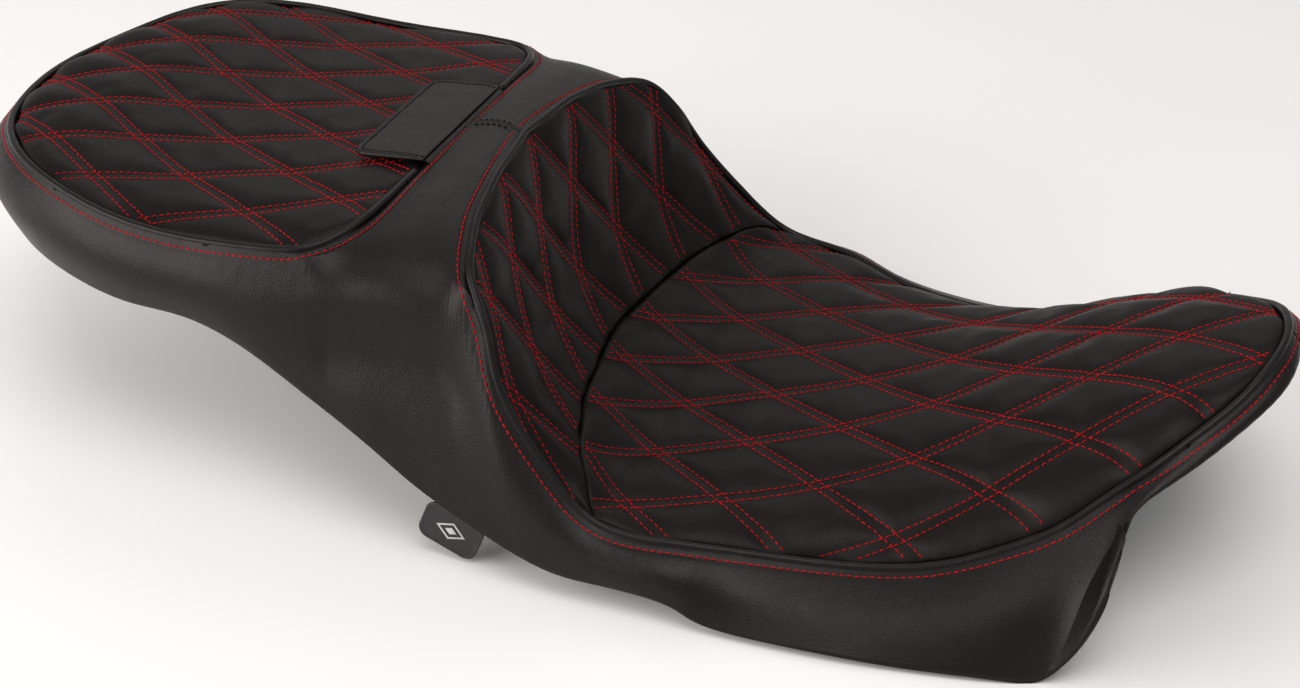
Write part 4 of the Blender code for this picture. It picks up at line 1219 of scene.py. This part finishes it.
def sheet_normals(grid, rim_rows, first, last):
    """Normals of the cover; on the rim rows the columns from first to last coincide."""
    found = unit(np.cross(np.gradient(grid, axis=0), np.gradient(grid, axis=1)))
    short = np.concatenate([grid[:, :first], grid[:, last:]], axis=1)
    narrow = unit(np.cross(np.gradient(short, axis=0), np.gradient(short, axis=1)))
    found[rim_rows, :first] = narrow[rim_rows, :first]
    found[rim_rows, last:] = narrow[rim_rows, first:]
    found[rim_rows, first:last] = narrow[rim_rows, first:first + 1]
    for _ in range(2):
        found[1:-1] = found[1:-1] * 2 + found[:-2] + found[2:]
        found = unit(found)
    return found


def cover_grid():
    """The left cover's points, from under the seam out to the rim, down the side and under."""
    at = np.concatenate([
        np.linspace(0.0, BRIDGE_START, TAIL_ROWS + 1)[:-1],
        np.linspace(BRIDGE_START, BRIDGE_STOP, BRIDGE_ROWS),
        np.linspace(BRIDGE_STOP, 1.0, NOSE_ROWS + 1)[1:],
    ])
    starts = cover_starts(at)
    edges, wides, hems = top_edge(at), widest_line(at), hem_line(at)
    ahead = np.gradient(starts, axis=0)
    inward = unit(np.cross(ahead, UP))
    inward = unit(smooth_along(inward, 1))
    inward[0], inward[-1] = (1.0, 0.0, 0.0), (-1.0, 0.0, 0.0)
    tuck = np.array([(1.6, 5.5), (2.1, 3.4), (2.0, 1.8), (1.4, 0.7), (0.6, 0.15)])
    tucked = starts[:, None] + inward[:, None] * tuck[None, :, :1] - UP * tuck[None, :, 1:]
    share = np.linspace(0.0, 1.0, ACROSS + 1)[None, :-1, None]
    flat = starts[:, None] * (1 - share) + edges[:, None] * share
    x, y = flat[..., 0], flat[..., 1]
    level = cover_height(x, y)
    miss_start = (starts[:, 2] - level[:, 0])[:, None]
    miss_edge = (edges[:, 2] - cover_height(edges[:, 0], edges[:, 1]))[:, None]
    level = level + miss_start * (1 - share[..., 0]) ** 3 + miss_edge * share[..., 0] ** 3
    span = np.linalg.norm(edges - starts, axis=1)[:, None]
    flat[..., 2] += (level - flat[..., 2]) * smooth_step(span / 14.0)
    sides = np.array([
        chord_line(np.array([edge, wide, hem]))(np.linspace(0.0, 1.0, DOWN))
        for edge, wide, hem in zip(edges, wides, hems)
    ])
    flat, sides = round_shoulder(flat, sides)
    outline_x = np.linspace(-362, 353, 1400)
    outline = np.stack([outline_x, pan_half(outline_x), pan_edge(outline_x)], axis=1)
    gaps = ((hems[:, None, :2] - outline[None, :, :2]) ** 2).sum(axis=2)
    nearest = smooth_along(outline[gaps.argmin(axis=1)], 4)
    nearest[[0, -1], 1] = 0.0
    to_pan = unit((nearest - hems) * np.array([1.0, 1.0, 0.0]))
    under = nearest - UP * 2.4
    end = under + to_pan * 12.0
    end[:, 2] = np.maximum(end[:, 2], 1.2)
    inwards, downwards = np.array([0.8, 2.4])[None, :, None], np.array([0.9, 1.1])[None, :, None]
    roll = hems[:, None] + to_pan[:, None] * inwards - UP * downwards
    roll[..., 2] = np.maximum(roll[..., 2], 0.25)
    back = [
        hems + (under - hems) * part + UP * (-1.6 * math.sin(math.pi * part))
        for part in np.linspace(0.12, 1.0, 9)
    ]
    back += [under + (end - under) * part for part in np.linspace(0.25, 1.0, 4)]
    back = np.stack(back, axis=1)
    back[..., 2] = np.maximum(back[..., 2], 0.3)
    grid = np.concatenate([tucked, flat, sides, roll, back], axis=1)
    return grid, starts


def even_out(grid):
    """Take small unevenness along the bridge out of the cover, away from its seams."""
    count, columns = grid.shape[:2]
    row = np.arange(count)[:, None]
    column = np.arange(columns)[None]
    span = np.linalg.norm(grid[:, EDGE] - grid[:, TUCKED], axis=1)[:, None]
    wide = smooth_step((span - 12.0) / 40.0)
    inner = smooth_step((column - TUCKED - 4.0) / 12.0) * wide
    outer = smooth_step((column - EDGE - 1.0) / 5.0)
    weight = near_bridge(row, 24, 24, 20.0, 20.0) * np.maximum(inner, outer) * (column < HEM - 2)
    for _ in range(3):
        eased = np.stack([smooth_along(grid[:, k], 7) for k in range(columns)], axis=1)
        grid = grid + weight[..., None] * (eased - grid)
    return grid


def cover_relief():
    """How far the cover stands out from its smooth shape: seams, puckers, and a soft shoulder."""
    from_seam = np.minimum(from_passenger, from_driver)
    relief = -0.5 * np.exp(-((from_seam - TOPSTITCH_OUT) / 1.1) ** 2)
    relief += 0.25 * np.exp(-((from_seam - TOPSTITCH_OUT * 0.5) / 1.2) ** 2)
    felled = 1.1 * np.exp(-(from_centre / 4.4) ** 6)
    relief += felled - 0.5 * np.exp(-((from_centre - FELLED_ROW) / 0.8) ** 2)
    along = np.linalg.norm(np.gradient(cover_start, axis=0), axis=1).cumsum()[:, None]
    puckers = 0.10 * np.sin(along * 0.71 + 1.3 * np.sin(along * 0.093))
    relief += puckers * np.exp(-np.abs(from_seam - 9.0) / 6.0)
    rows = np.arange(len(cover))[:, None]
    side = near_bridge(rows, 13, 12, 28.0, 22.0) * smooth_step((from_seam[:, EDGE:] - 5.0) / 28.0)
    steps = np.linalg.norm(np.diff(cover[:, EDGE - 1:], axis=1), axis=2)
    below_edge = np.cumsum(steps, axis=1)
    relief[:, EDGE:] -= 4.5 * side * np.exp(-((below_edge - 50.0) / 20.0) ** 2)
    shoulder = 1.4 * side * np.exp(-((below_edge - 16.0) / 15.0) ** 2)
    relief[:, EDGE:] += shoulder * smooth_step(below_edge / 8.0)
    relief[:, TUCKED:] *= smooth_step(from_seam[:, TUCKED:] / 3.0)
    relief[:, :TUCKED] = 0.0
    relief[:, HEM:] *= 0.3
    return relief


def rest_on_pan(grid):
    """Lower the turned-in hem until it lies under the pan."""
    turned_in = grid[:, HEM + 1:]
    pan = tree_of(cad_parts["base_pan"])
    pan_under = drop(pan, turned_in.reshape(-1, 3), UP)[0][:, 2].reshape(len(grid), -1)
    gap = pan_under - COVER_THICKNESS - 0.6 - turned_in[..., 2]
    lowered = np.where(np.isnan(gap), 0.0, np.minimum(gap, 0.0))
    near = np.clip(np.arange(len(grid))[:, None] + np.arange(-4, 5), 0, len(grid) - 1)
    turned_in[..., 2] += smooth_along(lowered[near].min(axis=1), 3)


cover, cover_start = cover_grid()
cover = even_out(cover)
rim_rows = np.linalg.norm(cover[:, EDGE] - cover[:, TUCKED], axis=1) < 6.0
normals = sheet_normals(cover, rim_rows, TUCKED, EDGE)
if normals[300, EDGE + 12, 1] < 0:
    normals = -normals
from_passenger = distance_to(cover, resample(passenger, 1.0))
from_driver = distance_to(cover, resample(driver, 1.0))
from_centre = distance_to(
    cover, np.array([(x, 0.0, bridge_top(x)) for x in np.linspace(-92, -56, 40)]))
cover = cover + normals * cover_relief()[..., None]
rest_on_pan(cover)
cover[..., 1] = np.maximum(cover[..., 1], 0.15)
cover[..., 2] = np.maximum(cover[..., 2], 0.2)
left_cover = thick_grid("left_side_cover", cover, COVER_THICKNESS, SKIRT, normals)
right_cover = thick_grid(
    "right_side_cover", (cover * MIRROR)[:, ::-1], COVER_THICKNESS, SKIRT,
    (normals * MIRROR)[:, ::-1],
)
for piece, stood in ((left_cover, "left_skirt"), (right_cover, "right_skirt")):
    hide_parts(stood)
    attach(piece, "seat")


# ---------------------------------------------------------------- piping and seam stitching

def welt(name, loop, closed, stood):
    """Piping along a seam, in place of one CAD node."""
    inward, upward = loop_frames(loop, closed)
    if not closed:
        inward = unit(smooth_along(inward, 2))
        upward = unit(smooth_along(upward, 2))
    centres = loop + inward * WELT_INSET
    count = np.arange(len(loop))
    radius = WELT_RADIUS * (1.0 + 0.025 * np.sin(count * 0.9) * np.sin(count * 0.13))
    made = tube(name, centres, inward, upward, radius, closed, WELT)
    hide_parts(stood)
    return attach(made, "seat")


welt("driver_piping", closed_loop(resample(driver, 3.0)), True, "driver_welt")
whole = closed_loop(resample(passenger, 3.0))
# The passenger pad's piping stops where the flap crosses the seam
under_flap = (np.abs(whole[:, 1]) < FLAP_SIZE[1] / 2 + 2.0) & (whole[:, 0] > -150.0)
first, gap = int(np.argmax(under_flap)), int(under_flap.sum())
kept = (np.arange(len(whole) - gap) + first + gap) % len(whole)
welt("passenger_piping", whole[kept], False, "passenger_welt")


def contour(distances, level):
    """The line on the left cover at one distance from a pad's edge, with its normals."""
    spots, facing = [], []
    for row, seen, turned in zip(distances, cover, normals):
        for j in range(TUCKED, HEM - 1):
            if row[j] < level <= row[j + 1]:
                part = (level - row[j]) / (row[j + 1] - row[j])
                spots.append(seen[j] * (1 - part) + seen[j + 1] * part)
                facing.append(turned[j] * (1 - part) + turned[j + 1] * part)
                break
    spots, facing = np.array(spots), unit(np.array(facing))
    along = distance_along(spots)
    at = np.linspace(0.0, along[-1], int(along[-1] / 1.5))
    spots, facing = places_at(at, along, spots), places_at(at, along, facing)
    spots[[0, -1], 1] = 0.0
    return spots, unit(facing)


def both_sides(rows):
    """Rows of the left half joined to their mirror image, as one run from right to left."""
    return np.concatenate([rows[::-1] * MIRROR, rows[1:]])


topstitches = [
    tuple(both_sides(half) for half in contour(distances, TOPSTITCH_OUT))
    for distances in (from_passenger, from_driver)
]
sew("edge_stitches", topstitches, RED, radius=0.46, seed=5)

xs = np.linspace(-85.0, -63.0, 60)
points = np.stack([xs, np.full_like(xs, FELLED_ROW), np.full_like(xs, 200.0)], axis=1)
landed, facing = drop(tree_of(left_cover), points, -UP, 60.0)
felled = [(landed, facing), (landed * MIRROR, facing * MIRROR)]
sew("centre_seam_stitches", felled, BLACK, radius=0.45, pitch=3.6, seed=6)


# ---------------------------------------------------------------- flap over the backrest socket

def flap_point(local):
    """A point of the flap from (back from the hinge, across, up), to the frame's millimetres."""
    turn = FLAP_SLOPE
    x = -local[..., 0] * math.cos(turn) - local[..., 2] * math.sin(turn)
    z = -local[..., 0] * math.sin(turn) + local[..., 2] * math.cos(turn)
    return HINGE + np.stack([x, local[..., 1], z], axis=-1)


def flap_edge_distance(back, side):
    """Distance in from the flap's free edges, with rounded rear corners."""
    far = FLAP_SIZE[0] - back
    near = FLAP_SIZE[1] / 2.0 - np.abs(side)
    a, b = FLAP_CORNER - far, FLAP_CORNER - near
    rounded = FLAP_CORNER - np.hypot(np.maximum(a, 0), np.maximum(b, 0))
    return np.where((a > 0) & (b > 0), rounded, np.minimum(far, near))


def make_flap():
    """The flap with its rolled edge and its stitched hem."""
    length, width = FLAP_SIZE
    ease = 0.5 - 0.5 * np.cos(np.linspace(0.0, math.pi, 61))
    shares = np.concatenate([np.linspace(0, 0.7, 34)[:-1], 0.7 + 0.3 * ease[30:] * 2 - 0.3])
    backs = np.unique(np.clip(0.4 + (length - 0.4) * shares, 0.4, length))
    inset = np.maximum(backs - (length - FLAP_CORNER), 0.0)
    half = width / 2.0 - FLAP_CORNER + np.sqrt(np.maximum(FLAP_CORNER ** 2 - inset ** 2, 0.0))
    half = np.where(inset > 0, half, width / 2.0)
    shares = np.sin(np.linspace(-math.pi / 2, math.pi / 2, 111))
    shares = 0.5 * shares + 0.5 * np.linspace(-1, 1, 111)
    back = np.broadcast_to(backs[:, None], (len(backs), 111))
    side = half[:, None] * shares[None]
    depth = np.maximum(flap_edge_distance(back, side), 0.0)
    rolled = np.sqrt(1.0 - (1.0 - np.clip(depth / 1.9, 0, 1)) ** 2)
    hem = -0.75 * np.exp(-((depth - FLAP_HEM) / 0.7) ** 2) - 0.25 * smooth_step((depth - 3.2) / 2.0)
    crown = 0.8 * smooth_step(depth / 22.0)
    ripple = 0.12 * np.sin(back * 0.33 + side * 0.11) + 0.08 * np.sin(side * 0.42)
    top = np.where(depth < FLAP_HEM, 0.0, ripple) + 1.75 * rolled + hem + crown
    bottom = -1.55 * rolled
    droop = -0.4 * (np.abs(side) / (width / 2.0)) ** 3 * smooth_step(back / length)
    root = 0.3 + 0.7 * smooth_step(back / 10.0)
    top, bottom = top * root, bottom * root
    upper = flap_point(np.stack([back, side, top + droop], axis=-1))
    lower = flap_point(np.stack([back, side, bottom + droop], axis=-1))
    count_a, count_b = back.shape
    size = count_a * count_b
    faces = grid_faces(count_a, count_b) + grid_faces(count_a, count_b, size, flip=True)
    ring = border_indices(count_a, count_b)
    for a, b in zip(ring, ring[1:] + ring[:1]):
        faces.append((b, a, size + a, size + b))
    points = np.concatenate([upper.reshape(-1, 3), lower.reshape(-1, 3)])
    flap = tidy_mesh(make_object("backrest_flap_cover", points, faces, SKIRT), 0.01)
    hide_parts("backrest_flap")
    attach(flap, "flap")
    surface = tree_of(flap)
    bend = 5.0
    turn_x, turn_y = length - FLAP_HEM - bend, width / 2.0 - FLAP_HEM - bend
    line = [(x, width / 2.0 - FLAP_HEM) for x in np.linspace(1.0, turn_x, 60)]
    line += [
        (turn_x + bend * math.sin(turn), turn_y + bend * math.cos(turn))
        for turn in np.linspace(0.0, math.pi / 2, 14)
    ]
    line = np.array(line + [(length - FLAP_HEM, y) for y in np.linspace(turn_y, 0, 80)[1:]])
    line = np.concatenate([line, line[-2::-1] * np.array([1.0, -1.0])])
    raised = flap_point(np.stack([line[:, 0], line[:, 1], np.full(len(line), 10.0)], axis=1))
    down = np.array([math.sin(FLAP_SLOPE), 0.0, -math.cos(FLAP_SLOPE)])
    landed, facing = drop(surface, raised, down, 10.0)
    good = ~np.isnan(landed[:, 0])
    runs = split_runs(landed, facing, good)
    sew("flap_hem_stitches", runs, BLACK, "flap", radius=0.4, pitch=3.4, seed=7)


make_flap()


def make_flap_root():
    """The strip of cover at the flap's root."""
    profile = np.array([
        (5.0, -3.4), (3.0, -2.2), (1.2, -1.1), (0.0, -0.9), (-1.6, -1.0), (-4.0, -1.2), (-7.0, -1.4),
    ])
    ends = FLAP_SIZE[1] / 2 - 2.5
    grid = np.zeros((80, len(profile), 3))
    grid[..., [0, 2]] = HINGE[[0, 2]] + profile[None]
    grid[..., 1] = np.linspace(-ends, ends, 80)[:, None]
    root = thick_grid("flap_root_fold", grid, 0.9, SKIRT)
    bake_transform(root)


make_flap_root()


# ---------------------------------------------------------------- label, fittings and underside

def label_outline(shrink):
    """Evenly spaced points round the label's rounded outline, moved in by shrink."""
    radius = LABEL_CORNER - shrink
    points = []
    for turn in np.linspace(0.0, 2.0 * math.pi, LABEL_SIDES + 1)[:-1]:
        points.append([
            (half - LABEL_CORNER) * np.sign(share) * (abs(share) > 1e-9) + radius * share
            for half, share in zip(LABEL_HALF, (math.cos(turn), math.sin(turn)))
        ])
    loop = np.array(points + points[:1])
    along = distance_along(loop)
    return places_at(np.linspace(0.0, along[-1], LABEL_SIDES + 1)[:-1], along, loop)


def make_label():
    """A blank moulded label with a raised rim and a plain diamond like the quilting's."""
    rings = [
        (0.5, -0.8), (0.0, -0.5), (0.0, 0.3), (0.4, 0.75), (1.3, 0.8), (1.8, 0.45), (2.2, 0.35),
        (4.0, 0.38),
    ]
    points = [(px, level, pz) for shrink, level in rings for px, pz in label_outline(shrink)]
    faces = ring_faces(len(rings), LABEL_SIDES)
    faces.append(tuple(range(LABEL_SIDES)))
    faces.append(tuple((len(rings) - 1) * LABEL_SIDES + n for n in range(LABEL_SIDES)))
    plain = len(faces)
    diamond = [(9.0, 0.0), (0.0, 6.2), (-9.0, 0.0), (0.0, -6.2)]
    frame_levels = ((1.0, 0.36), (1.0, 0.68), (0.94, 0.74), (0.86, 0.74), (0.80, 0.68), (0.80, 0.36))
    for levels in (frame_levels, ((0.40, 0.36), (0.40, 0.66), (0.30, 0.74))):
        faces += ring_faces(len(levels), 4, len(points))
        points += [(px * scale, level, pz * scale) for scale, level in levels for px, pz in diamond]
    faces.append(tuple(range(len(points) - 4, len(points))))
    face_materials = [0] * plain + [1] * (len(faces) - plain)
    points = np.array(points)
    c, s = math.cos(TAG_SLOPE), math.sin(TAG_SLOPE)
    x = TAG_CENTRE[0] + points[:, 0] * c + points[:, 2] * s
    z = TAG_CENTRE[1] - points[:, 0] * s + points[:, 2] * c
    y = -(float(hem_y(TAG_CENTRE[0])) - 5.0) - points[:, 1]
    label = turn_outwards(make_object(
        "side_label", np.stack([x, y, z], axis=1), faces, [LABEL, LABEL_RELIEF],
        face_materials, 50,
    ))
    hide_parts("side_tag")
    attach(label, "seat")


make_label()


def finish_nodes():
    """Give the CAD pieces that stay their own finishes."""
    for name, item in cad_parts.items():
        if not item.hide_render:
            look = {"base": PLASTIC, "bumper": RUBBER}.get(name.split("_")[0], STEEL)
            item.data.materials.clear()
            item.data.materials.append(look)


finish_nodes()


def make_staples():
    """Staples that hold the turned-in cover to the underside of the pan."""
    lane = resample(cover[:, -4], 2.0)
    course = np.gradient(lane, axis=0)
    inward = unit(smooth_along(unit(np.cross(course, UP)), 4))
    along = distance_along(lane)
    at = np.arange(8.0, along[-1] - 6.0, STAPLE_PITCH)
    centres = places_at(at, along, lane)
    ahead = unit(places_at(at, along, course))
    aside = unit(places_at(at, along, inward))
    tilt = np.random.default_rng(11).normal(0.0, 0.22, len(at))[:, None]
    ahead = unit(ahead + aside * tilt)
    centres = centres - UP * 1.9
    centres = np.concatenate([centres, centres * MIRROR])
    ahead = np.concatenate([ahead, ahead * MIRROR])
    lift = np.broadcast_to(-UP, centres.shape)
    lengths = np.full(len(centres), STAPLE_LENGTH)
    staples = capsules("cover_staples", centres, ahead, lift, lengths, 0.45, STEEL)
    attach(staples, "seat")


make_staples()


# ---------------------------------------------------------------- studio

def studio_material(name, colour):
    """Matt paper, very slightly uneven in tone."""
    made, tree, shader, place = start_material(name, colour, 0.9)
    tint = ramp(tree, noise(tree, place, 2.0), 0.3, 0.8, (colour, tuple(c * 0.985 for c in colour)))
    tree.links.new(tint, shader.inputs["Base Color"])
    shader.inputs["Specular IOR Level"].default_value = 0.1
    return made


WARM = (1.0, 0.94, 0.90)
AIM = (0.0, 0.0, 0.1)


def area_light(name, spot, size, power):
    """A softbox that looks at the seat."""
    data = bpy.data.lights.new(name, "AREA")
    data.shape = "RECTANGLE"
    data.size, data.size_y = size
    data.energy = power
    data.color = WARM
    light = bpy.data.objects.new(name, data)
    light.location = spot
    light.rotation_euler = (Vector(AIM) - Vector(spot)).to_track_quat("-Z", "Y").to_euler()
    bpy.context.scene.collection.objects.link(light)


FLOOR_REACH = 12.0
corners = [(sx * FLOOR_REACH, sy * FLOOR_REACH, 0) for sx, sy in ((-1, -1), (1, -1), (1, 1), (-1, 1))]
sheet = bpy.data.meshes.new("floor")
sheet.from_pydata(corners, [], [(0, 1, 2, 3)])
sheet.materials.append(studio_material("floor_paper", (0.93, 0.93, 0.93)))
floor = bpy.data.objects.new("floor", sheet)
bpy.context.scene.collection.objects.link(floor)

world = bpy.data.worlds.new("studio")
bpy.context.scene.world = world
world.use_nodes = True
sky = world.node_tree.nodes["Background"].inputs
sky["Color"].default_value = (1.0, 1.0, 1.0, 1.0)
sky["Strength"].default_value = 0.40
area_light("top_softbox", (0.7, -0.8, 2.4), (1.8, 1.4), 30.0)
area_light("back_softbox", (-0.6, 1.6, 1.9), (1.8, 1.4), 8.0)
area_light("left_softbox", (-1.7, -1.7, 1.1), (2.4, 1.6), 52.0)

bpy.context.scene.view_settings.view_transform = "Standard"

# The camera that the photograph's perspective was solved to
CAMERA_PLACE = Vector((0.3842, -0.9528, 0.6888))
lens = bpy.data.cameras.new("camera")
lens.lens = 55.385
lens.sensor_width = 36.0
lens.clip_start = 0.05
camera = bpy.data.objects.new("camera", lens)
forward = Vector((-0.2996, 0.7917, -0.5324)).normalized()
rightward = Vector((0.9353, 0.3539, 0.0)).normalized()
upward = rightward.cross(forward)
turn = Matrix((rightward, upward, -forward)).transposed()
camera.matrix_world = Matrix.LocRotScale(CAMERA_PLACE, turn, None)
bpy.context.scene.collection.objects.link(camera)
bpy.context.scene.camera = camera

bpy.context.view_layer.update()
